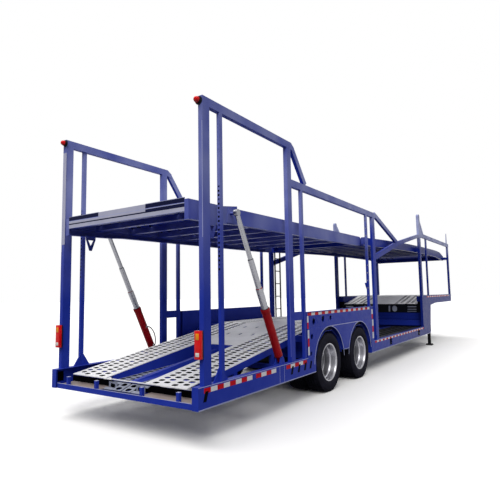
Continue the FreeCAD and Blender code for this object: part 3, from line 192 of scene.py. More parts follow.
def turned(profile, centre, axis, steps=48, ring=False):
    """A shape turned about an axis: profile of (distance along, radius); a ring joins its ends."""
    bm = bmesh.new()
    turn = Vector((0, 0, 1)).rotation_difference(Vector(axis)).to_matrix()
    angles = [2 * math.pi * i / steps for i in range(steps)]
    rows = [[bm.verts.new(Vector(centre) + turn @ Vector((radius * math.cos(a), radius * math.sin(a), along)))
             for a in angles] for along, radius in profile]
    sew(bm, rows, ring)
    if not ring:
        cap(bm, rows)
    bmesh.ops.remove_doubles(bm, verts=bm.verts, dist=1e-6)
    return keep(bm)


def strip(line, y0, y1, thick):
    """A strip of plate that follows a line of points from y0 to y1, thick below it."""
    return bar([[(p.x, y, z) for y, z in ((y0, p.z), (y1, p.z), (y1, p.z - thick), (y0, p.z - thick))]
                for p in line])


def side_band(points, halves, side, face, film):
    """A flat band on the side's face; it follows points and is wide by half to either hand."""
    return bar([[(REAR + p.x, side * y, p.z) for p, y in (
        (point - half, face - film), (point + half, face - film), (point + half, face + film),
        (point - half, face + film))] for point, half in zip(points, halves)])


def bent_pipe(points, radius):
    """A round pipe bent smoothly past the points, its ends closed."""
    curve = bpy.data.curves.new("pipe", "CURVE")
    curve.dimensions, curve.bevel_depth, curve.bevel_resolution, curve.use_fill_caps = "3D", radius, 3, True
    line = curve.splines.new("NURBS")
    line.points.add(len(points) - 1)
    for knot, spot in zip(line.points, points):
        knot.co = (*spot, 1.0)
    line.use_endpoint_u, line.order_u, line.resolution_u = True, 3, 6
    bm = bmesh.new()
    bm.from_mesh(baked([show("pipe", curve)]))
    bmesh.ops.remove_doubles(bm, verts=bm.verts, dist=1e-5)
    return keep(bm)


def hex_head(across, height, washer=0.0):
    """A hexagon head or nut with a chamfered top, standing on its own washer."""
    bm = bmesh.new()
    radius = across / 2 / math.cos(math.pi / 6)
    rings = [(radius, washer), (radius, height * 0.85), (radius * 0.86, height)]
    if washer:
        rings = [(radius * 1.2, 0.0), (radius * 1.2, washer)] + rings
    rows = [[bm.verts.new((r * math.cos(math.pi * i / 3), r * math.sin(math.pi * i / 3), z)) for i in range(6)]
            for r, z in rings]
    sew(bm, rows)
    cap(bm, rows)
    return keep(bm)


# The twelve directions of a square's edge: its corners and two points along each side.
SQUARE = ((1, -1), (1, -1 / 3), (1, 1 / 3), (1, 1), (1 / 3, 1), (-1 / 3, 1), (-1, 1), (-1, 1 / 3), (-1, -1 / 3),
          (-1, -1), (-1 / 3, -1), (1 / 3, -1))
# How far a hole's collar hangs below the plate, and how thick it is.
COLLAR_DEPTH = 0.016
COLLAR_WALL = 0.002
# Of the bands between the rows of a pressed tile, those that the punch has cut.
CUT_BANDS = (3, 4, 5)


def pressed_tile(length, width, hole, rim, thick):
    """One field of track plate with a long hole and its pressed collar, and the hole's cut wall apart."""
    bm = bmesh.new()
    spread, rise = rim

    def plate_edge(z):
        return [bm.verts.new((u * length / 2, v * width / 2, z)) for u, v in SQUARE]

    def hole_edge(grow, z):
        reaches = [(abs(u) ** 3 + abs(v) ** 3) ** (1 / 3) for u, v in SQUARE]
        return [bm.verts.new((u / reach * (hole[0] / 2 + grow), v / reach * (hole[1] / 2 + grow), z))
                for (u, v), reach in zip(SQUARE, reaches)]

    # The cut wall runs on as a collar below the plate.
    foot = -thick - COLLAR_DEPTH
    rows = [plate_edge(0.0), hole_edge(spread, 0.0), hole_edge(spread * 0.4, rise), hole_edge(0.0, rise * 0.5),
            hole_edge(0.0, foot), hole_edge(COLLAR_WALL, foot), hole_edge(COLLAR_WALL, -thick), plate_edge(-thick)]
    cut = [face for i, face in enumerate(sew(bm, rows)) if i // len(SQUARE) in CUT_BANDS]
    bm.faces.index_update()
    wall = bm.copy()
    wall.faces.index_update()
    numbers = {face.index for face in cut}
    bmesh.ops.delete(wall, geom=[face for face in wall.faces if face.index not in numbers], context="FACES")
    bmesh.ops.delete(bm, geom=cut, context="FACES")
    return [as_mesh(shell, "tile") for shell in (bm, wall)]


# ================================================================ Geometry Nodes
def copies_tree():
    """Copies a piece at even steps along lines, turned with them, and gives it its finish."""
    tree = bpy.data.node_groups.new("copies_along_lines", "GeometryNodeTree")
    for name, kind in (("Lines", "NodeSocketGeometry"), ("Piece", "NodeSocketObject"), ("Count", "NodeSocketInt"),
                       ("Across", "NodeSocketVector"), ("Finish", "NodeSocketMaterial")):
        tree.interface.new_socket(name, in_out="INPUT", socket_type=kind)
    tree.interface.new_socket("Copies", in_out="OUTPUT", socket_type="NodeSocketGeometry")
    start = node(tree, "NodeGroupInput").outputs
    curve = node(tree, "GeometryNodeMeshToCurve", {"Mesh": start["Lines"]})
    steps = node(tree, "GeometryNodeCurveToPoints", {"Curve": curve.outputs["Curve"], "Count": start["Count"]},
                 mode="COUNT")
    turn = node(tree, "FunctionNodeAxesToRotation",
                {0: steps.outputs["Tangent"], 1: start["Across"]}, primary_axis="X", secondary_axis="Y")
    piece = node(tree, "GeometryNodeObjectInfo", {"Object": start["Piece"]})
    placed = node(tree, "GeometryNodeInstanceOnPoints",
                  {"Points": steps.outputs["Points"], "Instance": piece.outputs["Geometry"],
                   "Rotation": turn.outputs["Rotation"]})
    solid = node(tree, "GeometryNodeRealizeInstances", {"Geometry": placed.outputs["Instances"]})
    coated = node(tree, "GeometryNodeSetMaterial", {"Geometry": solid.outputs["Geometry"],
                                                    "Material": start["Finish"]})
    node(tree, "NodeGroupOutput", {"Copies": coated.outputs["Geometry"]})
    return tree


def copies(lines, piece, count, across, finish):
    """A plain mesh of count copies of a piece along each line of points; across is the piece's Y."""
    tree = bpy.data.node_groups.get("copies_along_lines") or copies_tree()
    bm = bmesh.new()
    for line in lines:
        verts = [bm.verts.new(p) for p in line]
        for one, two in zip(verts, verts[1:]):
            bm.edges.new((one, two))
        if len(line) > 2:
            bm.edges.new((verts[-1], verts[0]))
    path, pattern = show("lines", as_mesh(bm, "lines")), show("pattern", piece)
    modifier = path.modifiers.new("copies", "NODES")
    modifier.node_group = tree
    values = {"Piece": pattern, "Count": count, "Across": across, "Finish": finish}
    for item in tree.interface.items_tree:
        if item.in_out == "INPUT" and item.name in values:
            modifier[item.identifier] = values[item.name]
    made = baked([path, pattern])
    if not made.polygons:
        raise RuntimeError("no copies were made along the lines")
    return made


def circle(centre, radius, count):
    """A closed line of count points round the Y axis."""
    angles = [2 * math.pi * i / count for i in range(count)]
    return [Vector(centre) + Vector((radius * math.cos(a), 0, radius * math.sin(a))) for a in angles]


# ================================================================ settings
def colour_setting(name, note, code):
    """A colour the user can change."""
    return FloatVectorProperty(name=name, description=note, subtype="COLOR", size=4, min=0, max=1,
                               default=linear(code))


def size_setting(name, note, default, least):
    """A length the user can change."""
    return FloatProperty(name=name, description=note, unit="LENGTH", default=default, min=least)


class PaintSettings(bpy.types.PropertyGroup):
    """Colours of the trailer's finishes."""
    frame_blue: colour_setting("Frame blue", "Royal blue enamel of the frame and decks", "2c42b6")
    frame_shade: colour_setting("Frame shade", "Thicker, deeper areas of the blue enamel", "2033a2")
    road_dust: colour_setting("Road dust", "Fine dust that settles on upward faces", "8d8c98")
    barrel_red: colour_setting("Barrel red", "Red enamel of the lift cylinders", "b80c18")
    # The wheels' dark grey is partly painted shade of the deep dish.
    wheel_silver: colour_setting("Wheel silver", "Silver enamel of the wheels", "5e5f65")
    chassis_black: colour_setting("Chassis black", "Black paint of axles, springs and legs", "131418")
    zinc: colour_setting("Zinc", "Hot-dip galvanised steel of the track plates", "f6f6f8")
    rubber: colour_setting("Rubber", "Tyre rubber", "26262f")


class TrackSettings(bpy.types.PropertyGroup):
    """Sizes of the pressed track plates."""
    pitch: size_setting("Hole pitch", "Distance between holes along the track", 0.095, 0.04)
    field: size_setting("Field width", "Width of one row of holes", 0.13, 0.08)
    hole_length: size_setting("Hole length", "Size of a hole along the track", 0.060, 0.01)
    hole_width: size_setting("Hole width", "Size of a hole across the track", 0.084, 0.01)
    collar: size_setting("Collar rise", "Height of the pressed collar", 0.002, 0.0)
    upper_pitch: size_setting("Upper deck pitch", "Distance between upper deck slots", 0.16, 0.08)
    plate: size_setting("Plate", "Thickness of the plates", 0.008, 0.002)


class WheelSettings(bpy.types.PropertyGroup):
    """Sizes of tyres and wheel fittings."""
    nuts: IntProperty(name="Wheel nuts", description="Nuts on each wheel", default=10, min=4)
    nut_circle: size_setting("Nut circle", "Radius of the ring of nuts", 0.146, 0.05)
    hand_holes: IntProperty(name="Hand holes", description="Hand holes in each disc", default=10, min=2)
    hand_hole: size_setting("Hand hole", "Size across a hand hole", 0.042, 0.01)
    hole_circle: size_setting("Hole circle", "Radius of the ring of hand holes", 0.217, 0.1)
    nut: size_setting("Nut size", "Width across the flats of a nut", 0.033, 0.01)
    blocks: IntProperty(name="Shoulder blocks", description="Tread blocks round each shoulder", default=60, min=12)
    tread: size_setting("Tread depth", "Depth of the tread grooves", 0.013, 0.001)


class TapeSettings(bpy.types.PropertyGroup):
    """Sizes and colours of the reflective tape."""
    segment: size_setting("Segment", "Length of one red or white field", 0.12, 0.02)
    film: size_setting("Film", "Thickness of the tape", 0.0005, 0.0001)
    red: colour_setting("Tape red", "Red fields of the tape", "d40a1c")
    white: colour_setting("Tape white", "White fields of the tape", "f2f2f6")


class StageSettings(bpy.types.PropertyGroup):
    """Floor and light of the studio."""
    floor: size_setting("Floor size", "Side of the square floor", 240.0, 20.0)
    sky: FloatProperty(name="Soft light", description="Strength of the light from all round", default=0.36, min=0.0)
    key: FloatProperty(name="Key light", description="Strength of the broad light from behind", default=1.7, min=0.0)
    top: FloatProperty(name="Top light", description="Strength of the broad light from above", default=1.5, min=0.0)
    floor_white: FloatProperty(name="Floor white", description="How white the floor is to the eye", default=1.08,
                               min=0.0, max=3.0)


# ================================================================ materials
def new_material(name):
    """An empty node material, its tree and the place of a point on the object."""
    made = bpy.data.materials.new(name)
    made.use_nodes = True
    tree = made.node_tree
    tree.nodes.clear()
    return made, tree, node(tree, "ShaderNodeTexCoord").outputs["Object"]


def wire(tree, inputs):
    """The material's shader with its links and constants."""
    shader = node(tree, "ShaderNodeBsdfPrincipled", inputs)
    node(tree, "ShaderNodeOutputMaterial", {"Surface": shader.outputs["BSDF"]})


def mix(tree, share, one, two):
    """A colour between two, by share."""
    return node(tree, "ShaderNodeMix", {"Factor": share, "A": one, "B": two}, data_type="RGBA").outputs["Result"]


def remap(tree, value, low=0.0, high=1.0, to_low=0.0, to_high=1.0):
    """A value taken from one range to another."""
    return node(tree, "ShaderNodeMapRange", {"Value": value, "From Min": low, "From Max": high, "To Min": to_low,
                                             "To Max": to_high}).outputs["Result"]


def noise(tree, place, scale, detail, roughness=0.5):
    """Soft noise that changes scale times a metre."""
    return node(tree, "ShaderNodeTexNoise", {"Vector": place, "Scale": scale, "Detail": detail,
                                             "Roughness": roughness}).outputs["Fac"]


def times(tree, one, two):
    """The product of two values."""
    return node(tree, "ShaderNodeMath", {0: one, 1: two}, operation="MULTIPLY").outputs["Value"]


def bump(tree, height, strength, distance):
    """Relief from a height."""
    return node(tree, "ShaderNodeBump", {"Height": height, "Strength": strength,
                                         "Distance": distance}).outputs["Normal"]


def split_axes(tree, vector):
    """The X, Y and Z of a vector."""
    return node(tree, "ShaderNodeSeparateXYZ", {"Vector": vector}).outputs


def enamel(name, colour, shade, dust, roughness, coat, settle, sky=0.0, painted_shade_from=None):
    """Sprayed enamel over welded steel: even colour, slight waviness, dust on upward faces.

    With sky or a shade height given, the colour deepens towards the neck: painted shade. High up, a pale
    painted reflection of the sky lightens the colour, as strong as sky. Above the shade height it is painted black:
    painted shade."""
    made, tree, place = new_material(name)
    # Spray passes a hand's breadth wide, so shades change over about 250 mm.
    paint = mix(tree, noise(tree, place, 4.0, 3.0, 0.55), colour, shade)
    up = split_axes(tree, node(tree, "ShaderNodeNewGeometry").outputs["Normal"])["Z"]
    spot = split_axes(tree, place)
    if sky or painted_shade_from is not None:
        # The blue grows deeper towards the neck: painted shade.
        paint = mix(tree, remap(tree, spot["X"], REAR + 5.0, REAR + 9.6, 0.0, 0.7), paint, linear("0a1a66"))
    if painted_shade_from is not None:
        # The edge of the painted black shade blurs over 4 mm.
        paint = mix(tree, remap(tree, spot["Z"], painted_shade_from, painted_shade_from + 0.004), paint, linear("0c0f16"))
    if sky:
        # Behind the decks' joint the painted sky reflection starts at 1.5 m, ahead of it only the rails above 2.75 m
        # carry it.
        start = remap(tree, spot["X"], REAR + 4.8, REAR + 5.5, 1.5, 2.75)
        film = remap(tree, spot["Z"], start, 3.1, 0.0, sky)
        # The painted reflection runs in streaks about 600 mm wide, keeps off faces that look down, and grows towards
        # the neck.
        uneven = remap(tree, noise(tree, place, 1.6, 2.0), 0.35, 0.65, 0.35)
        shown = remap(tree, up, -0.6, -0.1)
        onward = remap(tree, spot["X"], REAR + 2.6, REAR + 9.0, 1.0, 1.7)
        for share in (uneven, shown, onward):
            film = times(tree, film, share)
        paint = mix(tree, film, paint, linear("c6cdf4"))
    # Dust lies in patches of about 60 mm where a face looks up.
    patches = noise(tree, place, 16.0, 5.0, 0.6)
    lies = times(tree, remap(tree, up, 0.55, 1.0, 0.0, settle), patches)
    # Welding heat draws sheet into waves of about 180 mm.
    waves = noise(tree, place, 5.5, 1.0)
    wire(tree, {"Base Color": mix(tree, lies, paint, dust),
                "Roughness": remap(tree, patches, 0.3, 0.7, roughness * 0.8, roughness * 1.3),
                "Normal": bump(tree, waves, 0.25, 0.004), "Specular IOR Level": 0.045, "Coat Weight": coat,
                "Coat Roughness": 0.12})
    return made


def galvanised(name, colour):
    """Hot-dip galvanised steel: pale zinc with a faint spangle and a satin, hazy sheen."""
    made, tree, place = new_material(name)
    # Zinc spangle on plate is 8 to 15 mm across.
    spangle = node(tree, "ShaderNodeTexVoronoi", {"Vector": place, "Scale": 80.0}).outputs["Color"]
    stain = noise(tree, place, 3.0, 6.0, 0.65)
    clean = times(tree, remap(tree, spangle, to_low=0.88), remap(tree, stain, 0.42, 0.68, 1.0, 0.8))
    wire(tree, {"Base Color": mix(tree, clean, linear("9fa1a8"), colour),
                "Roughness": remap(tree, spangle, to_low=0.38, to_high=0.52),
                "Normal": bump(tree, stain, 0.15, 0.002), "Metallic": 0.15})
    return made


def matt_black(name, colour, bloom_colour):
    """Black vulcanised rubber, or near-black painted shade in cut edges and hollows: matt, with a grey bloom and a
    little road dust.
    """
    made, tree, place = new_material(name)
    bloom = noise(tree, place, 9.0, 6.0, 0.6)
    # Mould grain of about 2 mm, drawn at 5 mm so that it shows.
    grain = noise(tree, place, 200.0, 2.0)
    wire(tree, {"Base Color": mix(tree, remap(tree, bloom, 0.45, 0.75, 0.0, 0.4), colour, bloom_colour),
                "Roughness": remap(tree, bloom, to_low=0.62, to_high=0.85),
                "Normal": bump(tree, grain, 0.3, 0.001), "Specular IOR Level": 0.01})
    return made


def bare_metal(name, colour, shade, roughness, lines):
    """Bright metal with fine turning or drawing lines: chromed rods, zinc-plated bolts, ground pins."""
    made, tree, place = new_material(name)
    marks = noise(tree, place, lines, 4.0, 0.7)
    wire(tree, {"Base Color": mix(tree, marks, colour, shade), "Metallic": 1.0,
                "Roughness": remap(tree, marks, to_low=roughness * 0.7, to_high=roughness * 1.4)})
    return made


def lens(name, colour, deep):
    """Moulded acrylic lamp lens: saturated, glossy, ribbed inside every 6 mm."""
    made, tree, place = new_material(name)
    ribs = node(tree, "ShaderNodeTexWave", {"Vector": place, "Scale": 26.0, "Distortion": 0.0},
                bands_direction="Z").outputs["Fac"]
    wire(tree, {"Base Color": mix(tree, ribs, colour, deep), "Normal": bump(tree, ribs, 0.3, 0.001),
                "Roughness": 0.18, "IOR": 1.49, "Specular IOR Level": 0.15})
    return made


def reflective_film(name, colour, cell):
    """Retro-reflective vinyl film: bright, sealed in cells of about 4 mm, with a clear glossy face."""
    made, tree, place = new_material(name)
    cells = node(tree, "ShaderNodeTexVoronoi", {"Vector": place, "Scale": 250.0}, feature="DISTANCE_TO_EDGE")
    seam = remap(tree, cells.outputs["Distance"], 0.0, 0.12, 0.6, 0.0)
    wire(tree, {"Base Color": mix(tree, seam, colour, cell), "Roughness": 0.45, "Specular IOR Level": 0.06})
    return made


# The riser's open wall is painted black from this height up: painted shade.
RISER_SHADE_FROM = 0.975


def finishes():
    """Every finish of the trailer by name, made once."""
    paint, tape = bpy.context.scene.carrier_paint, bpy.context.scene.carrier_tape
    blue, dust = (paint.frame_blue, paint.frame_shade, paint.road_dust), paint.road_dust
    # columns: maker, then what it takes after the name, with sRGB hex values as text
    wanted = {
        # The frame's blue carries a painted reflection of the sky high up, and painted shade towards the neck.
        "royal_blue_gloss_enamel": (enamel, *blue, 0.36, 0.0, 0.15, 0.5),
        # The riser's blue is painted black high up: painted shade.
        "riser_enamel_painted_shade": (enamel, *blue, 0.36, 0.0, 0.15, 0.0, RISER_SHADE_FROM),
        # Painted shade: the blue as it looks in shade.
        "painted_shade_blue_enamel": (enamel, "161c48", "0e1230", dust, 0.4, 0.0, 0.1),
        # Painted highlight: the pale blue of edges catching light.
        "painted_highlight_blue_edge": (enamel, "ccd0ee", "a2a9dc", dust, 0.35, 0.1, 0.3),
        # Painted light: the pale blue-grey of faces where light falls.
        "painted_light_pale_enamel": (enamel, "d2d3e6", "b2b4d2", dust, 0.4, 0.0, 0.3),
        # Painted highlight on the posts' rounded corners.
        "painted_highlight_corner_enamel": (enamel, "8088d6", "5f6ac4", dust, 0.35, 0.0, 0.1),
        "barrel_red_gloss_enamel": (enamel, paint.barrel_red, "8c0913", paint.barrel_red, 0.28, 0.1, 0.0),
        "silver_wheel_enamel": (enamel, paint.wheel_silver, "5b5b60", "55545a", 0.34, 0.1, 0.2),
        "black_chassis_paint": (enamel, paint.chassis_black, "1d1e23", "54534f", 0.5, 0.05, 0.3),
        "hot_dip_galvanised_steel": (galvanised, paint.zinc),
        "rolled_galvanised_sheet": (galvanised, "f6f6f9"),
        # Painted shade: a darker copy of the zinc.
        "painted_shade_galvanised_steel": (galvanised, "a4a7ae"),
        "vulcanised_tyre_rubber": (matt_black, paint.rubber, "3c3b4c"),
        # Painted shade: near black, for cut edges, hollows and slots.
        "painted_shade_black": (matt_black, "08080b", "17171b"),
        "rusting_sheet": (galvanised, "a4948e"),
        # A darker zinc; behind the riser's openings it is a sheet of painted shade.
        "dark_galvanised_sheet": (galvanised, "8a90a4"),
        "hard_chromed_steel": (bare_metal, "a2a3a9", "77787e", 0.26, 60.0),
        "machined_steel": (bare_metal, "c4c6cb", "94969b", 0.34, 140.0),
        "polished_aluminium": (bare_metal, "bcbcc2", "8a8a90", 0.3, 30.0),
        "red_acrylic_lens": (lens, "ff0812", "dc040a"),
        "amber_acrylic_lens": (lens, "ffb41e", "f2880a"),
        "clear_acrylic_lens": (lens, "f4f4ee", "d5d6d2"),
        "red_reflective_film": (reflective_film, tape.red, "8e0a18"),
        "white_reflective_film": (reflective_film, tape.white, "c9cad4"),
    }
    return {name: bpy.data.materials.get(name) or
            maker(name, *(linear(value) if isinstance(value, str) else value for value in values))
            for name, (maker, *values) in wanted.items()}


def coats(*names):
    """Finishes by their names."""
    made = finishes()
    return [made[name] for name in names]


FINISH_OF_SLOT = {
    "blue_paint": "royal_blue_gloss_enamel", "galvanised_plate": "hot_dip_galvanised_steel",
    "tyre_rubber": "vulcanised_tyre_rubber", "silver_wheel": "silver_wheel_enamel",
    "red_paint": "barrel_red_gloss_enamel", "rod_steel": "hard_chromed_steel", "black_paint": "black_chassis_paint",
    "bright_steel": "machined_steel", "red_lens": "red_acrylic_lens",
}
# A grey sheet of painted shade behind the riser's openings: its faces ahead of the gooseneck deck, its inset, bottom
# and top.
SHADE_SHEET = (0.016, 0.020, 0.10, 0.99, 1.19)


class CARRIER_OT_paint(bpy.types.Operator):
    """Gives every node of the frame its finish, the riser's wall painted black high up as painted shade, and a grey
    sheet of painted shade behind the riser's openings
    """
    bl_idname = "carrier.paint"
    bl_label = "Paint the frame"

    def execute(self, context):
        made = finishes()
        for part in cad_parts.values():
            for place in part.material_slots:
                slot = place.material.name.split(".")[0]
                if slot not in FINISH_OF_SLOT:
                    raise RuntimeError("no finish for slot " + slot)
                place.material = made[FINISH_OF_SLOT[slot]]
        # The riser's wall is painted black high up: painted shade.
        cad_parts["gooseneck_riser"].material_slots[0].material = made["riser_enamel_painted_shade"]
        # A grey sheet behind the riser's openings stands in for the shade seen through them: painted shade.
        back, (low, high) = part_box("gooseneck_deck")[0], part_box("gooseneck_riser")
        x0, x1, inset, z0, z1 = SHADE_SHEET
        behind = block((back.x + x0, low.y + inset, z0), (back.x + x1, high.y - inset, z1))
        assemble("riser_back_sheet", [(behind, made["dark_galvanised_sheet"])], "trailer")
        return {"FINISHED"}


# ================================================================ track plates
# Rows of holes across one wheel track, and the plain strips between them.
TRACK_ROWS = (0.480, 0.610, 0.775, 0.905)
TRACK_STRIPS = ((0.350, 0.415), (0.675, 0.710), (0.970, 1.000))
MID_ROWS = (0.540, 0.670, 0.835, 0.965)
MID_STRIPS = ((0.410, 0.475), (0.735, 0.770), (1.030, 1.183))
UPPER_ROWS = (0.545, 0.740, 0.935)
# Width of one row of slots on the upper decks.
UPPER_WIDTH = 0.195
NECK_STRIPS = ((0.0, 0.415), (0.675, 0.710))
# Stations where the plates over the axles end, and where the gooseneck's entry slope turns level.
DECK_END = 5.570
NECK_KNEE = 10.8
# Stations and heights of the front deck's plates: three on the arch, then the fall to its nose.
FRONT_ARC = ((5.420, 2.665), (8.600, 2.800), (12.200, 2.855))
FRONT_FALL = ((12.7, 2.835), (13.24, 2.725))
# Size of the bar along the ramps' foot.
EDGE_BAR = 0.012
# How far a hole's raised rim spreads on the plate.
RIM_SPREAD = 0.008
# Points closer than this are joined, so that tiles run on without a seam.
WELD = 1e-5


def lower_press(field=None, thick=None):
    """The lower tracks' press: field width, pitch, hole, rim and thickness."""
    track = bpy.context.scene.carrier_track
    return (field or track.field, track.pitch, (track.hole_length, track.hole_width), (RIM_SPREAD, track.collar),
            thick or track.plate)


def tile_run(start, end, rows, press, finish):
    """Rows of tiles on both sides, along one straight stretch; every other row is half a step on."""
    # The hole walls and collars take a near-black finish: painted shade seen down the holes.
    shade_black = finishes()["painted_shade_black"]
    field, pitch, hole, rim, thick = press
    along = end - start
    count = max(2, round(along.length / pitch))
    step = along / count
    tiles = tuple(zip(pressed_tile(step.length, field, hole, rim, thick), (finish, shade_black)))
    made = []
    for late, chosen in ((0, rows[0::2]), (1, rows[1::2])):
        first, last = start + step * (0.5 + late * 0.5), end - step * (0.5 + late * 0.5)
        lines = [[Vector((p.x, side * y, p.z)) for p in (first, last)] for y in chosen for side in ALL_SIDES]
        for tile, coat in tiles:
            made.append((copies(lines, tile, count - late, (0, 1, 0), coat), coat))
        for y in (side * y for y in chosen * late for side in ALL_SIDES):
            for ends in ((start, start + step * 0.5), (end - step * 0.5, end)):
                made.append((strip(ends, y - field / 2, y + field / 2, thick), finish))
    return made


def plate_with_rows(line, rows, strips, press, finish):
    """Track plates on both sides: rows of tiles with plain strips between them."""
    made = []
    for start, end in zip(line, line[1:]):
        made += tile_run(start, end, rows, press, finish)
    return made + [(strip(line, *span(side, *edges), press[-1]), finish) for edges in strips for side in ALL_SIDES]


class CARRIER_OT_track_plates(bpy.types.Operator):
    """Makes the pressed plates of the lower wheel tracks"""
    bl_idname = "carrier.track_plates"
    bl_label = "Lower track plates"

    def execute(self, context):
        plate, press = context.scene.carrier_track.plate, lower_press()
        zinc = finishes()["hot_dip_galvanised_steel"]
        low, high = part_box("ramp_track_plates")
        start, knee = Vector((low.x + EDGE_BAR, 0, low.z + EDGE_BAR)), Vector((high.x, 0, high.z))
        ramp = plate_with_rows([start, knee], TRACK_ROWS, TRACK_STRIPS, press, zinc)
        edge = block((low.x, low.y, low.z), (start.x, high.y, start.z), bevel=0.002)
        piece = assemble("ramp_tracks_pressed", ramp + [(edge, zinc)], "trailer", weld=WELD)
        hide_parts("ramp_track_plates")

        level = plate_with_rows([knee, at(DECK_END, 0, high.z)], TRACK_ROWS, TRACK_STRIPS, press, zinc)
        level += self.centre_plate(knee, finishes()["rolled_galvanised_sheet"], plate)
        piece = assemble("axle_deck_pressed", level, "trailer", weld=WELD)
        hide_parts("axle_deck_plates")

        self.sunken_plates(plate)
        low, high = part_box("mid_track_plates")
        line = [Vector((low.x, 0, high.z)), Vector((high.x, 0, high.z))]
        # The middle track plates take the black chassis paint, so the deck between the side beams is dark.
        mid = plate_with_rows(line, MID_ROWS, MID_STRIPS, press, finishes()["black_chassis_paint"])
        piece = assemble("mid_tracks_pressed", mid, "trailer", weld=WELD)
        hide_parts("mid_track_plates")
        return {"FINISHED"}

    def sunken_plates(self, plate):
        """The darker perforated plates low between the ramps, and the blue spine that parts them."""
        dark_zinc, shade_black, rusting, blue = coats("dark_galvanised_sheet", "painted_shade_black", "rusting_sheet",
                                             "royal_blue_gloss_enamel")
        lip, (low, high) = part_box("rear_cross_beam"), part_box("ramp_centre_floor")
        # The plates climb from just past the cross beam's lip to just short of the sunken floor.
        start, end = Vector((lip[0].x + 0.06, 0, 0.452)), Vector((low.x - 0.012, 0, 0.510))
        parts = tile_run(start, end, (0.085, 0.245), lower_press(0.15, 0.006), dark_zinc)
        ends = [Vector((lip[0].x + 0.03, 0, 0.443)), Vector((low.x - 0.03, 0, 0.447))]
        parts += [(strip(ends, *span(side, 0.36, 1.12), 0.003), rusting) for side in ALL_SIDES]
        # An upright near-black strip at the sunken floor's rear end: painted shade.
        parts.append((block((low.x - 0.011, lip[0].y + 0.01, 0.43), (low.x - 0.0085, lip[1].y - 0.01, 0.5195)), shade_black))
        assemble("cross_beam_plates_pressed", parts, "trailer", weld=WELD)

        start, end = Vector((low.x, 0, low.z + plate)), Vector((high.x, 0, 0.600))
        sunken = tile_run(start, end, (0.155, 0.285), lower_press(0.13), dark_zinc)
        piece = assemble("sunken_floor_pressed", sunken, "trailer", weld=WELD)
        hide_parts("ramp_centre_floor")
        bm = bmesh.new()
        foot, ridge = 0.09, 0.035
        rows = [[bm.verts.new((x, y, z)) for y, z in ((-foot, z0), (foot, z0), (ridge, z1), (-ridge, z1))]
                for x, z0, z1 in ((low.x, low.z, low.z + 0.028), (high.x, 0.592, high.z))]
        sew(bm, rows)
        cap(bm, rows)
        assemble("floor_spine", [(keep(bm), blue)], "trailer")

    def centre_plate(self, knee, finish, thick):
        """The smooth plate between the tracks, with three tie-down slots at five stations."""
        slots, length = (2.5, 3.0, 3.7, 4.4, 5.1), 0.12
        # Distances from the middle: the middle slot's edge, both edges of the outer slots, the plate's edge.
        half, near, far, edge = 0.02, 0.23, 0.27, 0.348
        back, end = at(1.9), at(DECK_END).x
        slope_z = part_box("axle_deck_plates")[0].z + thick

        def height(x):
            share = (x - back.x) / (knee.x - back.x)
            return min(slope_z + share * (knee.z - slope_z), knee.z)

        def line(x0, x1):
            stops = [x0] + [x for x in (knee.x,) if x0 < x < x1] + [x1]
            return [Vector((x, 0, height(x))) for x in stops]

        made = [(strip(line(back.x, end), y0, y1, thick), finish)
                for y0, y1 in ((-edge, -far), (-near, -half), (half, near), (far, edge))]
        gaps = [at(s).x for s in slots]
        starts = [back.x] + [x + length for x in gaps]
        for y0, y1 in ((-far, -near), (-half, half), (near, far)):
            made += [(strip(line(x0, x1), y0, y1, thick), finish) for x0, x1 in zip(starts, gaps + [end])]
        return made


class CARRIER_OT_neck_deck(bpy.types.Operator):
    """Makes the entry slope and the level tracks over the gooseneck"""
    bl_idname = "carrier.neck_deck"
    bl_label = "Gooseneck deck"

    def execute(self, context):
        low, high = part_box("gooseneck_deck")
        line = [Vector((low.x, 0, low.z + context.scene.carrier_track.plate)), at(NECK_KNEE, 0, high.z),
                Vector((high.x, 0, high.z))]
        strips = (*NECK_STRIPS, (TRACK_STRIPS[-1][0], high.y))
        made = plate_with_rows(line, TRACK_ROWS, strips, lower_press(), finishes()["hot_dip_galvanised_steel"])
        piece = assemble("gooseneck_tracks_pressed", made, "trailer", weld=WELD)
        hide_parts("gooseneck_deck")
        return {"FINISHED"}


def arc_line(points, count):
    """Points at even stations on the circle through three (x, z) points."""
    (xa, za), (xb, zb), (xc, zc) = points
    d = 2 * (xa * (zb - zc) + xb * (zc - za) + xc * (za - zb))
    sa, sb, sc = xa * xa + za * za, xb * xb + zb * zb, xc * xc + zc * zc
    cx = (sa * (zb - zc) + sb * (zc - za) + sc * (za - zb)) / d
    cz = (sa * (xc - xb) + sb * (xa - xc) + sc * (xb - xa)) / d
    radius = math.hypot(xa - cx, za - cz)
    stations = [xa + (xc - xa) * i / count for i in range(count + 1)]
    return [at(x, 0, cz + math.copysign(math.sqrt(radius ** 2 - (x - cx) ** 2), za - cz)) for x in stations]


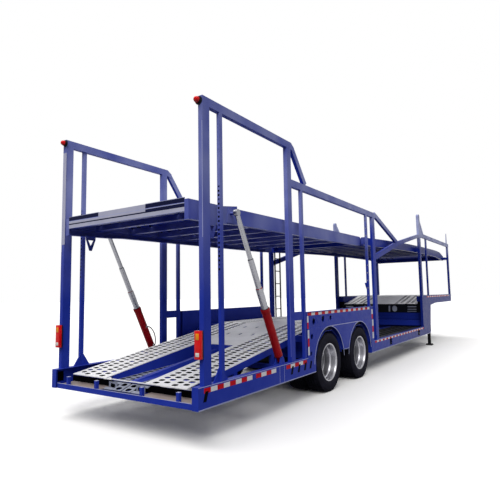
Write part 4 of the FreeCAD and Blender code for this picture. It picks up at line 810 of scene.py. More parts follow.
class CARRIER_OT_upper_decks(bpy.types.Operator):
    """Makes the slotted plates of both upper decks"""
    bl_idname = "carrier.upper_decks"
    bl_label = "Upper deck plates"

    def execute(self, context):
        track = context.scene.carrier_track
        # The upper decks' zinc is a darker copy of the lower tracks' zinc: painted shade.
        zinc, blue = coats("painted_shade_galvanised_steel", "royal_blue_gloss_enamel")
        press = (UPPER_WIDTH, track.upper_pitch, (0.085, 0.026), (RIM_SPREAD, 0.003), track.plate)
        edges = UPPER_ROWS[0] - UPPER_WIDTH / 2, UPPER_ROWS[-1] + UPPER_WIDTH / 2
        for node_name, body, line in (("rear_deck_plates", "rear_deck", self.rear_line(track.plate)),
                                      ("front_deck_plates", "trailer", self.front_line())):
            strips = ((0.0, edges[0]), (edges[1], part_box(node_name)[1].y))
            plates = plate_with_rows(line, UPPER_ROWS, strips, press, zinc)
            piece = assemble(node_name.replace("plates", "slotted_plates"), plates, body,
                             weld=WELD, under=blue)
            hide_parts(node_name)
        return {"FINISHED"}

    def rear_line(self, plate):
        """The straight line of the tilting deck's plates."""
        low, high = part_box("rear_deck_plates")
        return [Vector((low.x, 0, low.z + plate)), Vector((high.x, 0, high.z))]

    def front_line(self):
        """The arch of the fixed deck's plates and the fall to its nose."""
        return arc_line(FRONT_ARC, 11) + [at(x, 0, z) for x, z in FRONT_FALL]


# ================================================================ tyres and wheels
TYRE_WIDE = 0.292
# Radius of the rim where a 22.5-inch tyre sits.
SEAT_RADIUS = 0.28575
# Where the ring of shoulder blocks lies: out from the tyre's middle, and down from its crown.
SHOULDER = (0.112, 0.0075)


def tyre_profile(half, outer, seat, tread):
    """Half outline of a tyre: (distance from its middle, radius), crown first."""
    drops = ((0.0, 0.0), (0.020, 0.0), (0.022, tread), (0.030, tread), (0.032, 0.0), (0.064, 0.001), (0.066, tread),
             (0.074, tread), (0.076, 0.002), (0.098, 0.003), (0.100, 0.011), (0.121, 0.014), (0.131, 0.024),
             (0.1365, 0.042), (0.1405, 0.060), (0.1435, 0.080), (half, 0.098), (half, 0.110), (0.1440, 0.116),
             (0.1425, 0.134), (0.1360, 0.150), (0.1340, 0.154))
    bead = ((0.1290, 0.014), (0.1205, 0.006), (0.1150, 0.0006))
    return [(wide, outer - drop) for wide, drop in drops] + [(wide, seat + rise) for wide, rise in bead]


class CARRIER_OT_tyres(bpy.types.Operator):
    """Makes the twin tyres with ribs, shoulder blocks and sidewall rings"""
    bl_idname = "carrier.tyres"
    bl_label = "Tyres"

    def execute(self, context):
        wheel = context.scene.carrier_wheel
        rubber = finishes()["vulcanised_tyre_rubber"]
        for place in WHEEL_PLACES:
            low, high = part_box("tyres_" + place)
            middle, outer = (low + high) / 2, (high.z - low.z) / 2
            # The sidewalls stay 0.4 mm inside the tyre's width.
            half = tyre_profile(TYRE_WIDE / 2 - 0.0004, outer, SEAT_RADIUS, wheel.tread)
            profile = [(-d, r) for d, r in half[::-1]] + half[1:]
            parts = []
            for y in (low.y + TYRE_WIDE / 2, high.y - TYRE_WIDE / 2):
                centre = Vector((middle.x, y, middle.z))
                parts.append((turned(profile, centre, (0, 1, 0), steps=80, ring=True), rubber))
                parts += self.shoulder(centre, outer, wheel.blocks, rubber)
            piece = assemble("tyres_treaded_" + place, parts, "wheel_" + place, crease=35)
            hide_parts("tyres_" + place)
        return {"FINISHED"}

    def shoulder(self, centre, outer, count, finish):
        """Blocks round both shoulders, sitting on the lowered shoulder rib."""
        made = []
        half, inner, edge = 0.017, -0.012, 0.014
        outline = [(-half, inner), (half, inner), (half * 0.8, edge), (-half * 0.8, edge)]
        for side in ALL_SIDES:
            bm = bmesh.new()
            rows = [[bm.verts.new((x, side * y, -0.008)) for x, y in outline],
                    [bm.verts.new((x * 0.93, side * y * (1 if y < 0 else 0.75), 0.0055 if y < 0 else 0.003))
                     for x, y in outline]]
            sew(bm, rows)
            cap(bm, rows)
            ring = circle(centre + Vector((0, side * SHOULDER[0], 0)), outer - SHOULDER[1], count)
            made.append((copies([ring], keep(bm), count, (0, -1, 0), finish), finish))
        return made


# Outline of a twin wheel's outer half: (distance out from between the tyres, radius), cap first.
WHEEL_FACE = ((0.130, 0.002), (0.130, 0.058), (0.127, 0.066), (0.104, 0.070), (0.100, 0.078), (0.060, 0.088),
              (0.022, 0.108), (0.014, 0.120), (0.008, 0.124), (0.008, 0.170), (0.012, 0.179), (0.022, 0.192),
              (0.062, 0.238), (0.074, 0.247), (0.088, 0.251), (0.168, 0.253), (0.178, 0.256), (0.186, 0.264),
              (0.194, 0.267), (0.256, 0.2695), (0.270, 0.2735), (0.278, 0.2760), (0.2870, 0.2800), (0.2898, 0.2850),
              (0.2905, 0.2930), (0.2900, 0.2995), (0.2880, 0.3030), (0.2850, 0.3035), (0.2815, 0.3010),
              (0.2795, 0.2940), (0.2785, 0.2855))
# The inner wheel mirrors the outline from this point on, and both rims are polished outside this radius; inside it the
# darker enamel is partly the disc's colour and partly painted shade of the deep dish.
MIRROR_FROM = 12
POLISHED_FROM = 0.2475
# Outlines of the rim on its side towards the other wheel, and of the brake drum and its bore.
RIM_BACK = ((0.0465, 0.2855), (0.0465, 0.2640), (0.014, 0.206), (0.0, 0.192))
DRUM = ((-0.030, 0.195), (-0.300, 0.195), (-0.300, 0.0403), (0.118, 0.0403), (0.118, 0.002))
# The disc's outer face under the nuts, a nut's height and its washer's, and a stud's outline.
DISC_FACE = 0.008
NUT_HEIGHT = 0.030
WASHER = 0.004
STUD = ((0.0, 0.011), (0.040, 0.011), (0.044, 0.008))


class CARRIER_OT_wheels(bpy.types.Operator):
    """Makes the dished twin wheels with their hand holes, nuts and hubs"""
    bl_idname = "carrier.wheels"
    bl_label = "Wheels"

    def execute(self, context):
        steel, *painted = coats("machined_steel", "silver_wheel_enamel", "polished_aluminium")
        wheel = context.scene.carrier_wheel
        whole = self.drilled(wheel)
        for place in WHEEL_PLACES:
            low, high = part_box("tyres_" + place)
            turn = Matrix.Rotation(0.0 if place.endswith("left") else math.pi, 4, "Z")
            spot = Matrix.Translation((low + high) / 2) @ turn
            parts = [*zip(self.split(whole), painted), *((mesh, steel) for mesh in self.nuts(wheel, steel))]
            for mesh, _ in parts:
                mesh.transform(spot)
            piece = assemble("wheel_dished_" + place, parts, "wheel_" + place, crease=32, weld=1e-6)
            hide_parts("wheel_" + place)
        return {"FINISHED"}

    def drilled(self, wheel):
        """Both rims, discs, hub and drum as one turned body, with hand holes cut through both discs."""
        inner = [(-d, r) for d, r in WHEEL_FACE[MIRROR_FROM:]][::-1]
        profile = WHEEL_FACE + RIM_BACK + tuple((-d, r) for d, r in RIM_BACK[:3][::-1]) + tuple(inner) + DRUM
        body = turned(profile, (0, 0, 0), (0, 1, 0), steps=80)
        # The cutter is long enough to pass through both discs.
        hole = turned([(end, wheel.hand_hole / 2) for end in (-0.09, 0.09)], (0, 0, 0), (0, 1, 0), steps=20)
        ring = circle((0, 0, 0), wheel.hole_circle, wheel.hand_holes)
        cutters = copies([ring], hole, wheel.hand_holes, (0, 1, 0), finishes()["machined_steel"])
        helpers = [show("wheel", body), show("holes", cutters)]
        cut = helpers[0].modifiers.new("holes", "BOOLEAN")
        cut.operation, cut.object, cut.solver = "DIFFERENCE", helpers[1], "EXACT"
        return baked(helpers)

    def split(self, whole):
        """The disc, hub and drum in darker enamel, partly painted shade of the dish, and the polished rims."""
        shells = []
        for polished in (False, True):
            bm = bmesh.new()
            bm.from_mesh(whole)
            middle = [(face, face.calc_center_median()) for face in bm.faces]
            gone = [face for face, c in middle if (math.hypot(c.x, c.z) > POLISHED_FROM) != polished]
            bmesh.ops.delete(bm, geom=gone, context="FACES")
            shells.append(as_mesh(bm, "shell"))
        return shells

    def nuts(self, wheel, steel):
        """The ring of nuts with their studs, on the disc's outer face."""
        ring = circle((0, DISC_FACE, 0), wheel.nut_circle, wheel.nuts)
        stud = turned(STUD, (0, 0, 0), (0, 0, 1), steps=10)
        made = []
        for shape in (hex_head(wheel.nut, NUT_HEIGHT, washer=WASHER), stud):
            shape.transform(Matrix.Rotation(-math.pi / 2, 4, "X"))
            made.append(copies([ring], shape, wheel.nuts, (0, 1, 0), steel))
        return made


# ================================================================ lift cylinders
# Station and height of a cylinder's foot and of its eye.
FOOT = (1.762, 0.700)
EYE = (0.812, 2.570)
# columns: body, distance from the foot, radius of the tube, how far the ring stands proud, finishes of the ring
# and of the wiper. A stage's ring is all but flush, so that it slides home.
GLANDS = (
    ("barrel_", 0.765, 0.056, 0.002, "barrel_red_gloss_enamel", "black_chassis_paint"),
    ("first_stage_", 1.060, 0.046, 0.00012, "hard_chromed_steel", "barrel_red_gloss_enamel"),
    ("second_stage_", 1.470, 0.038, 0.00012, "hard_chromed_steel", "black_chassis_paint"),
)
TUBE_WALL = 0.0075
# The feed pipe's radius, and the outline of the unions at its ends.
PIPE_RADIUS = 0.008
UNION = ((0, 0.014), (0.018, 0.014), (0.022, 0.010))
# columns: distance up the barrel from the foot, distance out from its axis
LOOPED_PIPE = ((0.43, 0.052), (0.43, 0.085), (0.43, 0.13), (0.38, 0.175), (0.29, 0.185), (0.19, 0.155),
               (0.10, 0.105), (0.09, 0.085), (0.09, 0.052))
STRAIGHT_PIPE = ((0.52, 0.052), (0.52, 0.070), (0.50, 0.070), (0.16, 0.070), (0.13, 0.070), (0.13, 0.052))


def cylinder_axis(side_name):
    """Foot point and upward direction of a lift cylinder."""
    low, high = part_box("barrel_" + side_name)
    across = (low.y + high.y) / 2
    foot, eye = (at(station, across, height) for station, height in (FOOT, EYE))
    return foot, (eye - foot).normalized()


class CARRIER_OT_cylinders(bpy.types.Operator):
    """Adds the wiper rings, gland rings and the feed pipe of the lift cylinders"""
    bl_idname = "carrier.cylinders"
    bl_label = "Lift cylinder fittings"

    def execute(self, context):
        made = finishes()
        for side_name in ("left", "right"):
            foot, along = cylinder_axis(side_name)
            for body, start, radius, proud, finish, wiper_finish in GLANDS:
                inner, centre = radius - TUBE_WALL, foot + along * start
                ring = [(-0.014, radius - 0.002), (-0.014, radius + proud), (-0.004, radius + proud),
                        (0.0, radius + proud / 2), (0.003, radius - 0.004), (0.003, inner)]
                wiper = [(0.0, inner + 0.0002), (0.0, inner + 0.004), (0.006, inner + 0.003), (0.007, inner + 0.0002)]
                parts = [(turned(ring, centre, along, steps=40, ring=True), made[finish]),
                         (turned(wiper, centre + along * 0.003, along, steps=40, ring=True), made[wiper_finish])]
                assemble("gland_" + body + side_name, parts, body + side_name, crease=35)
            self.feed_pipe(side_name, foot, along, made["black_chassis_paint"], made["machined_steel"])
        return {"FINISHED"}

    def feed_pipe(self, side_name, foot, along, black, steel):
        """A bent steel pipe from the barrel's middle to its foot; the left one swings out in a loop."""
        left = side_name == "left"
        away = Vector((0, -1 if left else 1, 0))
        back = along.cross(Vector((0, 1, 0))).normalized()
        back = back if back.x < 0 else -back
        out_to = away if left else (away * 0.7 - back * 0.7).normalized()
        points = [foot + along * up + out_to * out for up, out in (LOOPED_PIPE if left else STRAIGHT_PIPE)]
        parts = [(bent_pipe(points, PIPE_RADIUS), black)]
        for one, two in ((points[0], points[1]), (points[-1], points[-2])):
            parts.append((turned(UNION, one, (two - one).normalized(), steps=6), steel))
        assemble("feed_pipe_" + side_name, parts, "barrel_" + side_name, crease=35)


# ================================================================ lamps
LAMP_WIDTH = 0.083
# How far ahead of a tail lamp's face its housing starts and its lenses end, and a marker lamp's inset.
HOUSING_FROM = 0.040
LENS_DEPTH = 0.045
MARKER_INSET = 0.050
# Fields of a tail lamp. Columns: low and high share of its height, width left clear at each side, how far its
# face is set in, lens
LAMP_FIELDS = (
    (0.0, 1.0, 0.001, 0.003, "red_acrylic_lens"),
    (0.09, 0.23, 0.20 * LAMP_WIDTH, 0.0, "clear_acrylic_lens"),
    (0.68, 0.90, 0.24 * LAMP_WIDTH, 0.0, "amber_acrylic_lens"),
)
# Outlines of a marker lamp: (distance back from the post, radius).
MARKER_CONE = ((0.0, 0.049), (0.005, 0.049), (0.008, 0.042), (0.020, 0.038), (0.024, 0.039), (0.031, 0.039),
               (0.031, 0.034))
MARKER_DOME = ((0.028, 0.0350), (0.044, 0.0350), (0.056, 0.0315), (0.066, 0.0245), (0.0725, 0.015),
               (0.0758, 0.002))


class CARRIER_OT_lamps(bpy.types.Operator):
    """Makes the tall tail lamps and the marker lamps on top of the rear posts"""
    bl_idname = "carrier.lamps"
    bl_label = "Lamps"

    def execute(self, context):
        made = finishes()
        black = made["black_chassis_paint"]
        low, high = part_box("tail_lamps")
        tall = high.z - low.z
        parts = []
        for side in ALL_SIDES:
            y0, y1 = span(side, high.y, high.y - LAMP_WIDTH)
            parts.append((block((low.x + HOUSING_FROM, y0, low.z), (high.x, y1, high.z), bevel=0.004), black))
            for share0, share1, rim, inset, name in LAMP_FIELDS:
                parts.append((block((low.x + inset, y0 + rim, low.z + tall * share0),
                                    (low.x + LENS_DEPTH, y1 - rim, low.z + tall * share1), bevel=0.003), made[name]))
        piece = assemble("tail_lamps_lensed", parts, "trailer", crease=35)
        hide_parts("tail_lamps")

        low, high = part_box("marker_lamps")
        parts = []
        for side in ALL_SIDES:
            centre = (high.x, side * (high.y - MARKER_INSET), (low.z + high.z) / 2)
            parts += [(turned(outline, centre, (-1, 0, 0), steps=32), finish)
                      for outline, finish in ((MARKER_CONE, black), (MARKER_DOME, made["red_acrylic_lens"]))]
        piece = assemble("marker_lamps_lensed", parts, "trailer", crease=35)
        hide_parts("marker_lamps")
        return {"FINISHED"}


# ================================================================ reflective tape
# columns: first station, last station, low edge, high edge, how far the face is set in
TAPE_RUNS = (
    (0.090, 1.000, 0.552, 0.605, 0.0),
    (1.080, 1.560, 0.552, 0.605, 0.0),
    (1.830, 2.440, 0.552, 0.605, 0.0),
    (2.520, 5.200, 1.240, 1.288, 0.006),
    (5.440, 9.400, 0.560, 0.600, 0.0),
    (9.950, 13.100, 1.400, 1.436, 0.0),
)
UPRIGHT_TAPES = (
    (2.492, 2.540, 0.660, 1.030, 0.0),
    (2.492, 2.540, 1.045, 1.235, 0.006),
    (5.310, 5.385, 0.660, 1.030, 0.0),
    (5.310, 5.385, 1.045, 1.235, 0.006),
)


class CARRIER_OT_tape(bpy.types.Operator):
    """Lays the red and white reflective tape along both sides"""
    bl_idname = "carrier.tape"
    bl_label = "Reflective tape"

    def execute(self, context):
        films = coats("red_reflective_film", "white_reflective_film")
        parts = []
        for x0, x1, z0, z1, inset in TAPE_RUNS:
            ends = [Vector((x, 0, (z0 + z1) / 2)) for x in (x0, x1)]
            parts += self.run(*ends, z1 - z0, inset, context.scene.carrier_tape, films)
        for x0, x1, z0, z1, inset in UPRIGHT_TAPES:
            ends = [Vector(((x0 + x1) / 2, 0, z)) for z in (z1, z0)]
            parts += self.run(*ends, x1 - x0, inset, context.scene.carrier_tape, films[::-1])
        assemble("reflective_tape", parts, "trailer")
        return {"FINISHED"}

    def run(self, start, end, height, inset, tape, films):
        """Fields of tape in turn, from start to end, on both sides."""
        along = end - start
        count = max(2, round(along.length / tape.segment))
        step = along / count
        made = []
        for side in ALL_SIDES:
            across = Vector((0, -side, 0)).cross(along.normalized()) * -1
            face = side * (SIDE - inset + tape.film)
            for turn, film in enumerate(films):
                fields = (count - turn + 1) // 2
                first = start + step * (turn + 0.5)
                # A line has to have a length, even where it carries a single field.
                last = first + step * (2 * (fields - 1) if fields > 1 else 0.01)
                line = [Vector((REAR + p.x, face, p.z)) for p in (first, last)]
                piece = block((-step.length / 2, -height / 2, -tape.film * 0.9), (step.length / 2, height / 2, 0.0))
                made.append((copies([line], piece, max(fields, 1), tuple(across), film), film))
        return made


# ================================================================ painted highlights and shade
# Films on the trailer's faces stand proud by this much; those on posts and decks a little less.
FILM = 0.0007
THIN_FILM = 0.0006
# Stations of the wheel arches, with the height of their centre and their radius.
AXLES = (3.273, 4.631)
AXLE_Z = 0.463
ARCH_R = 0.570
# Radius of the mudguards, and the panel's inner skin, where a black sheet of painted shade closes the slit above them.
GUARD_R = 0.504
ARCH_BACK = 1.2065
# Height of the ledge between the arches.
LEDGE_Z = 1.040
# Folded edges with a painted highlight. Columns: first station and height, second station and height, width
EDGE_LINES = (
    (0.002, 0.391, 2.738, 0.391, 0.011), (0.002, 0.620, 2.484, 0.620, 0.007),
    (5.240, 0.391, 10.195, 0.391, 0.011), (5.400, 0.601, 9.420, 0.601, 0.006),
    (3.340, LEDGE_Z, 4.560, LEDGE_Z, 0.011), (3.832, 0.608, 4.072, 0.608, 0.008),
    (1.655, 0.395, 1.655, 0.615, 0.005), (1.775, 0.395, 1.775, 0.615, 0.005),
)
# Near-black blocks behind the strap slots and the windows of the side beams: painted shade in the hollows.
# columns: first station, last station, bottom, top
PAINTED_SHADE_BACKS = ((0.080, 0.162, 0.455, 0.580), (1.955, 2.037, 0.455, 0.580), (2.155, 2.237, 0.455, 0.580),
              (2.345, 2.427, 0.455, 0.580), (2.525, 2.607, 0.455, 0.580), (6.390, 6.570, 0.415, 0.574),
              (8.790, 9.010, 0.415, 0.574))
# How deep under the side's face the blocks of painted shade and the posts' painted highlight corners lie.
HOLLOW_DEPTHS = (0.016, 0.012)
CORNER_DEPTHS = (0.003, 0.010)
# Slanted strap slots in the rear beams' webs, drawn as near-black bands of painted shade on the face.
STRAP_SLOTS = (0.102, 1.977, 2.177, 2.367, 2.547)
SLOT_Z = (0.464, 0.571)
SLOT_LEAN = 0.038
SLOT_WIDE = 0.055
# Painted highlights on the rounded rear corners of the main posts. Columns: station, bottom, top
PAINTED_HIGHLIGHT_CORNER = (0.094, 2.20, 3.50)
CORNERS = ((1.985, 0.70, 3.30), (5.575, 0.70, 2.95))
# The band of painted light on the left rear post: its bottom and top.
PAINTED_LIGHT_BAND = (2.30, 3.60)
# Pin windows of the rear guide posts: one every 50 mm inside the range, those the posts lack painted as near-black
# squares of shade; those outside it are plugged.
WINDOW_POST = (0.398, 0.453)
WINDOW_LOW = 1.012
WINDOW_STEP = 0.05
WINDOW_COUNT = 52
WINDOW_RANGE = (1.84, 2.83)
# Height of the rear cross beam's lip, and places and half width of the beam's upright stops.
LIP_TOP = 0.450
STOPS = (-0.965, -0.402, 0.402, 0.965)
STOP_HALF = 0.0205
# The tilting deck's end channel: how far its floor lies below the deck's top, its height, the thickness of its
# flanges, and where its stops end.
CHANNEL_DROP = 0.158
CHANNEL_TALL = 0.098
FLANGE = 0.008
STOP_END = 0.430


class CARRIER_OT_edges(bpy.types.Operator):
    """Paints highlights on edges and shade in hollows, and makes strap slots, pin windows, stops and the sheets that
    close the arches
    """
    bl_idname = "carrier.edges"
    bl_label = "Worn edges"

    def execute(self, context):
        parts = self.lines_and_arches() + self.beams_and_posts() + self.windows() + self.rear_end()
        assemble("worn_edges", parts, "trailer")
        assemble("deck_rear_edges", self.deck_edges(), "rear_deck")
        return {"FINISHED"}

    def lines_and_arches(self):
        """Painted highlights on the edges of the side beams and the wheel arches, and black sheets of painted shade
        that close the arches.
        """
        painted_highlight, black = coats("painted_highlight_blue_edge", "black_chassis_paint")
        # Spokes from 4 to 176 degrees over the arch; the sheet closes only its roof.
        angles = [math.radians(4 + 172 * i / 40) for i in range(41)]
        spokes = [Vector((math.cos(a), 0, math.sin(a))) for a in angles]
        roof = spokes[8:-8]
        parts = []
        for side in ALL_SIDES:
            for x0, z0, x1, z1, wide in EDGE_LINES:
                ends = [Vector((x0, 0, z0)), Vector((x1, 0, z1))]
                across = Vector((0, 1, 0)).cross((ends[1] - ends[0]).normalized()) * wide / 2
                parts.append((side_band(ends, [across, across], side, SIDE, FILM), painted_highlight))
            for centre in AXLES:
                middle = Vector((centre, 0, AXLE_Z))
                # A painted highlight follows the arch's edge.
                rim = [middle + spoke * (ARCH_R + 0.005) for spoke in spokes]
                parts.append((side_band(rim, [spoke * 0.006 for spoke in spokes], side, SIDE, FILM), painted_highlight))
                # A black sheet of painted shade closes the arch's roof.
                closed = [middle + spoke * (GUARD_R + ARCH_R) / 2 for spoke in roof]
                halves = [spoke * (ARCH_R - GUARD_R) / 2 for spoke in roof]
                parts.append((side_band(closed, halves, side, ARCH_BACK, 0.0015), black))
        return parts

    def beams_and_posts(self):
        """Painted shade in the hollows and strap slots of the side beams, and painted highlights on the corners of the
        main posts.
        """
        shade_black, rounded, painted_highlight = coats("painted_shade_black", "painted_highlight_corner_enamel", "painted_highlight_blue_edge")
        across = Vector((SLOT_WIDE / 2, 0, 0))
        parts = []
        for side in ALL_SIDES:
            y0, y1 = span(side, *(SIDE - depth for depth in HOLLOW_DEPTHS))
            parts += [(block(at(x0, y0, z0), at(x1, y1, z1)), shade_black) for x0, x1, z0, z1 in PAINTED_SHADE_BACKS]
            # Each slot is a near-black band of painted shade on the face.
            for x in STRAP_SLOTS:
                ends = [Vector((x, 0, SLOT_Z[0])), Vector((x + SLOT_LEAN, 0, SLOT_Z[1]))]
                parts.append((side_band(ends, [across, across], side, SIDE, FILM), shade_black))
            y0, y1 = span(side, *(SIDE - depth for depth in CORNER_DEPTHS))
            parts += [(block(at(x - FILM, y0, z0), at(x + FILM, y1, z1)), finish)
                      for (x, z0, z1), finish in (*((corner, rounded) for corner in CORNERS), (PAINTED_HIGHLIGHT_CORNER, painted_highlight))]
        return parts

    def windows(self):
        """Pin windows of the rear guide posts painted as near-black squares of shade, and plugs for those the posts do
        not have.
        """
        shade_black, blue = coats("painted_shade_black", "royal_blue_gloss_enamel")
        parts = []
        for side in ALL_SIDES:
            for x in WINDOW_POST:
                for step in range(WINDOW_COUNT):
                    z = WINDOW_LOW + step * WINDOW_STEP
                    # The posts have a window at every third step.
                    inside = WINDOW_RANGE[0] < z < WINDOW_RANGE[1]
                    # Where the post has no window, a near-black square of painted shade stands for one.
                    if inside and step % 3:
                        parts.append((self.patch(x, side, z, 0.012), shade_black))
                    elif not inside and step % 3 == 0:
                        parts.append((self.patch(x, side, z, 0.014), blue))
        return parts

    def rear_end(self):
        """The band of painted light on the left rear post, and painted highlights on the edges of the rear cross beam
        and its stops.
        """
        painted_highlight, pale = coats("painted_highlight_blue_edge", "painted_light_pale_enamel")
        low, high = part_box("main_posts")
        z0, z1 = PAINTED_LIGHT_BAND
        parts = [(block((low.x - THIN_FILM, high.y - 0.075, z0), (low.x + THIN_FILM, high.y - 0.004, z1)), pale)]
        low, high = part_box("rear_cross_beam")
        parts.append((block((low.x - 0.0005, low.y + 0.002, LIP_TOP - 0.003),
                            (low.x + 0.0085, high.y - 0.002, LIP_TOP + FILM)), painted_highlight))
        for y in STOPS:
            parts.append((block((low.x - 0.0005, y - STOP_HALF, high.z - 0.002),
                                (low.x + 0.0405, y + STOP_HALF, high.z + FILM)), painted_highlight))
        return parts

    def deck_edges(self):
        """Painted highlights on the flange edges of the tilting deck's end channel, painted light on its faces and
        lip, and painted shade on darker bands and on the faces of its stops.
        """
        painted_highlight, deep, pale = coats("painted_highlight_blue_edge", "painted_shade_blue_enamel", "painted_light_pale_enamel")
        low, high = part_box("rear_deck_cross_members")
        floor = high.z - CHANNEL_DROP
        roof = floor + CHANNEL_TALL
        x0, x1 = low.x - THIN_FILM, low.x + THIN_FILM
        # Bands of painted light lie a hair lower than the others.
        set_back = x1 - 0.0002
        parts = [(block((x0, low.y, z), (x1, high.y, z + FLANGE)), painted_highlight) for z in (floor, roof - FLANGE)]
        # columns: front face, first and last distance from the middle, bottom, top, finish
        for x, y0, y1, z0, z1, finish in ((set_back, low.y, high.y, floor + FLANGE, floor + 0.048, pale),
                                          (x1, low.y, high.y, floor + 0.050, floor + 0.062, deep),
                                          (set_back, -STOP_END, high.y, floor + 0.064, roof - FLANGE, pale),
                                          (x1, low.y, -STOP_END, floor + 0.062, roof - FLANGE, deep)):
            parts.append((block((x0, y0, z0), (x, y1, z1)), finish))
        lip = block((low.x, -STOP_END, roof - 0.002), (low.x + 0.006, STOP_END, high.z - 0.004))
        parts.append((lip, pale))
        for side in ALL_SIDES:
            y0, y1 = span(side, STOP_END, high.y)
            parts.append((block((x0, y0, roof + 0.006), (x1, y1, high.z - 0.006)), deep))
            parts.append((block((x0, y0, high.z - 0.005), (x1, y1, high.z + THIN_FILM)), painted_highlight))
        return parts

    def patch(self, x, side, z, half):
        """A thin square on a guide post's face."""
        y = side * (SIDE - 0.020)
        return block(at(x - THIN_FILM, y - half, z - half), at(x + THIN_FILM, y + half, z + half))


# ================================================================ bolts
# Stations of the first and last bolt on a side beam, their height and their count.
BEAM_BOLTS = (0.607, 1.614, 0.490, 3)
# The beam's web lies this far inside the side's face.
WEB_INSET = 0.008


class CARRIER_OT_bolts(bpy.types.Operator):
    """Adds the bolt heads on the side beams"""
    bl_idname = "carrier.bolts"
    bl_label = "Bolts"

    def execute(self, context):
        steel = finishes()["machined_steel"]
        x0, x1, z, count = BEAM_BOLTS
        parts = []
        for side in ALL_SIDES:
            line = [at(x, side * (SIDE - WEB_INSET), z) for x in (x0, x1)]
            head = hex_head(0.024, 0.0075)
            parts.append((copies([line], head, count, (0, 0, -side), steel), steel))
        assemble("side_beam_bolts", parts, "trailer", crease=30)
        return {"FINISHED"}


# ================================================================ stage
# The camera's place, its yaw, pitch and roll in degrees, and its lens and sensor in millimetres.
CAMERA_PLACE = (-10.407, -4.418, 1.580)
CAMERA_TURN = (33.92, 5.48, -0.956)
CAMERA_LENS = (32.94, 36.0)


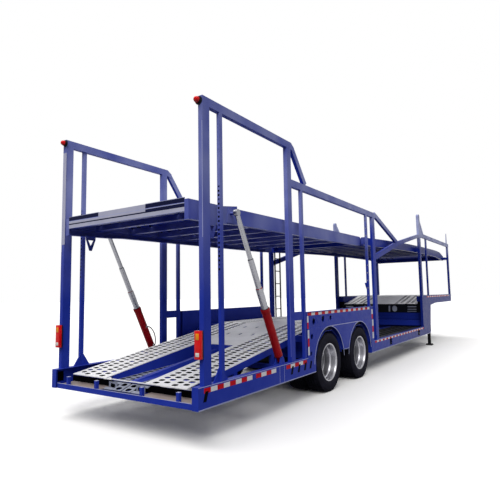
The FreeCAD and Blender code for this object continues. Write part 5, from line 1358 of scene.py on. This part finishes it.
class CARRIER_OT_stage(bpy.types.Operator):
    """Makes the floor, the white surround, the lights and the camera"""
    bl_idname = "carrier.stage"
    bl_label = "Studio"

    def execute(self, context):
        stage = context.scene.carrier_stage
        self.camera(context)
        self.floor(stage)
        self.surround(context, stage)
        # columns: name, strength, spread in degrees, where it comes from
        for name, strength, spread, source in (("key", stage.key, 35, (-0.75, -0.5, 0.95)),
                                               ("top", stage.top, 45, (-0.1, 0.3, 1.0))):
            light = bpy.data.lights.new(name, "SUN")
            light.energy, light.angle, light.color = strength, math.radians(spread), (1.0, 0.985, 0.96)
            show(name, light).rotation_euler = Vector(source).to_track_quat("Z", "Y").to_euler()
        context.scene.view_settings.view_transform = "Standard"
        return {"FINISHED"}

    def camera(self, context):
        """A level-headed view from behind the right rear corner, at eye height."""
        glass = bpy.data.cameras.new("camera")
        glass.lens, glass.sensor_width = CAMERA_LENS
        glass.clip_start, glass.clip_end = 0.1, 400.0
        yaw, pitch, roll = (math.radians(turn) for turn in CAMERA_TURN)
        ahead = Vector((math.cos(pitch) * math.cos(yaw), math.cos(pitch) * math.sin(yaw), math.sin(pitch)))
        right = ahead.cross(Vector((0, 0, 1))).normalized()
        up = right.cross(ahead)
        level, lean = math.cos(roll), math.sin(roll)
        axes = (right * level + up * lean, up * level - right * lean, -ahead)
        camera = show("camera", glass)
        camera.matrix_world = Matrix.Translation(CAMERA_PLACE) @ Matrix(axes).transposed().to_4x4()
        context.scene.camera = camera

    def white_to_eye(self, tree):
        """One for rays that see the backdrop: from the camera, in gloss or through glass."""
        path = node(tree, "ShaderNodeLightPath").outputs
        seen = path["Is Camera Ray"]
        for ray in ("Is Glossy Ray", "Is Transmission Ray"):
            seen = node(tree, "ShaderNodeMath", {0: seen, 1: path[ray]}, operation="MAXIMUM").outputs["Value"]
        return seen

    def floor(self, stage):
        """A broad pale floor that keeps the shadow and runs into the white surround."""
        bm = bmesh.new()
        bmesh.ops.create_grid(bm, x_segments=1, y_segments=1, size=stage.floor / 2)
        made, tree, place = new_material("pale_studio_floor")
        pale = (stage.floor_white, stage.floor_white, stage.floor_white, 1.0)
        tint = mix(tree, noise(tree, place, 1.5, 3.0), pale, tuple(c * 0.98 for c in pale))
        white = node(tree, "ShaderNodeBsdfDiffuse", {"Color": tint})
        dull = node(tree, "ShaderNodeBsdfDiffuse", {"Color": linear("44444c")})
        seen = node(tree, "ShaderNodeMixShader", {0: self.white_to_eye(tree), 1: dull.outputs["BSDF"],
                                                  2: white.outputs["BSDF"]})
        node(tree, "ShaderNodeOutputMaterial", {"Surface": seen.outputs["Shader"]})
        ground = show("floor", as_mesh(bm, "floor"))
        ground.data.materials.append(made)

    def surround(self, context, stage):
        """White to the eye, and an even soft light on the trailer."""
        world = bpy.data.worlds.new("surround")
        context.scene.world = world
        world.use_nodes = True
        tree = world.node_tree
        tree.nodes.clear()
        soft = node(tree, "ShaderNodeBackground", {"Color": (0.96, 0.97, 1.0, 1.0), "Strength": stage.sky})
        white = node(tree, "ShaderNodeBackground", {"Color": (1, 1, 1, 1), "Strength": 1.0})
        chosen = node(tree, "ShaderNodeMixShader", {0: self.white_to_eye(tree), 1: soft.outputs["Background"],
                                                    2: white.outputs["Background"]})
        node(tree, "ShaderNodeOutputWorld", {"Surface": chosen.outputs["Shader"]})


# ================================================================ panel and registration
STEPS = (CARRIER_OT_stage, CARRIER_OT_paint, CARRIER_OT_track_plates, CARRIER_OT_neck_deck, CARRIER_OT_upper_decks,
         CARRIER_OT_tyres, CARRIER_OT_wheels, CARRIER_OT_cylinders, CARRIER_OT_lamps, CARRIER_OT_tape,
         CARRIER_OT_edges, CARRIER_OT_bolts)


class CARRIER_PT_panel(bpy.types.Panel):
    """Lists the steps that finish the trailer"""
    bl_idname = "CARRIER_PT_panel"
    bl_label = "Car carrier"
    bl_space_type = "VIEW_3D"
    bl_region_type = "UI"
    bl_category = "Car carrier"

    def draw(self, context):
        for step in STEPS:
            self.layout.operator(step.bl_idname)
        for group in GROUPS:
            settings = getattr(context.scene, group)
            for name in settings.bl_rna.properties.keys():
                if name not in ("rna_type", "name"):
                    self.layout.prop(settings, name)


GROUPS = {"carrier_paint": PaintSettings, "carrier_track": TrackSettings, "carrier_wheel": WheelSettings,
          "carrier_tape": TapeSettings, "carrier_stage": StageSettings}


def register():
    """Registers the settings, the steps and the panel."""
    for kind in (*GROUPS.values(), *STEPS, CARRIER_PT_panel):
        bpy.utils.register_class(kind)
    for name, kind in GROUPS.items():
        setattr(bpy.types.Scene, name, PointerProperty(type=kind))


def unregister():
    """Takes them all off again."""
    for name in GROUPS:
        delattr(bpy.types.Scene, name)
    for kind in (CARRIER_PT_panel, *reversed(STEPS), *reversed(tuple(GROUPS.values()))):
        bpy.utils.unregister_class(kind)


def main():
    """Finishes the trailer."""
    register()
    for step in STEPS:
        area, _, name = step.bl_idname.partition(".")
        getattr(getattr(bpy.ops, area), name)()


if __name__ == "__main__":
    main()
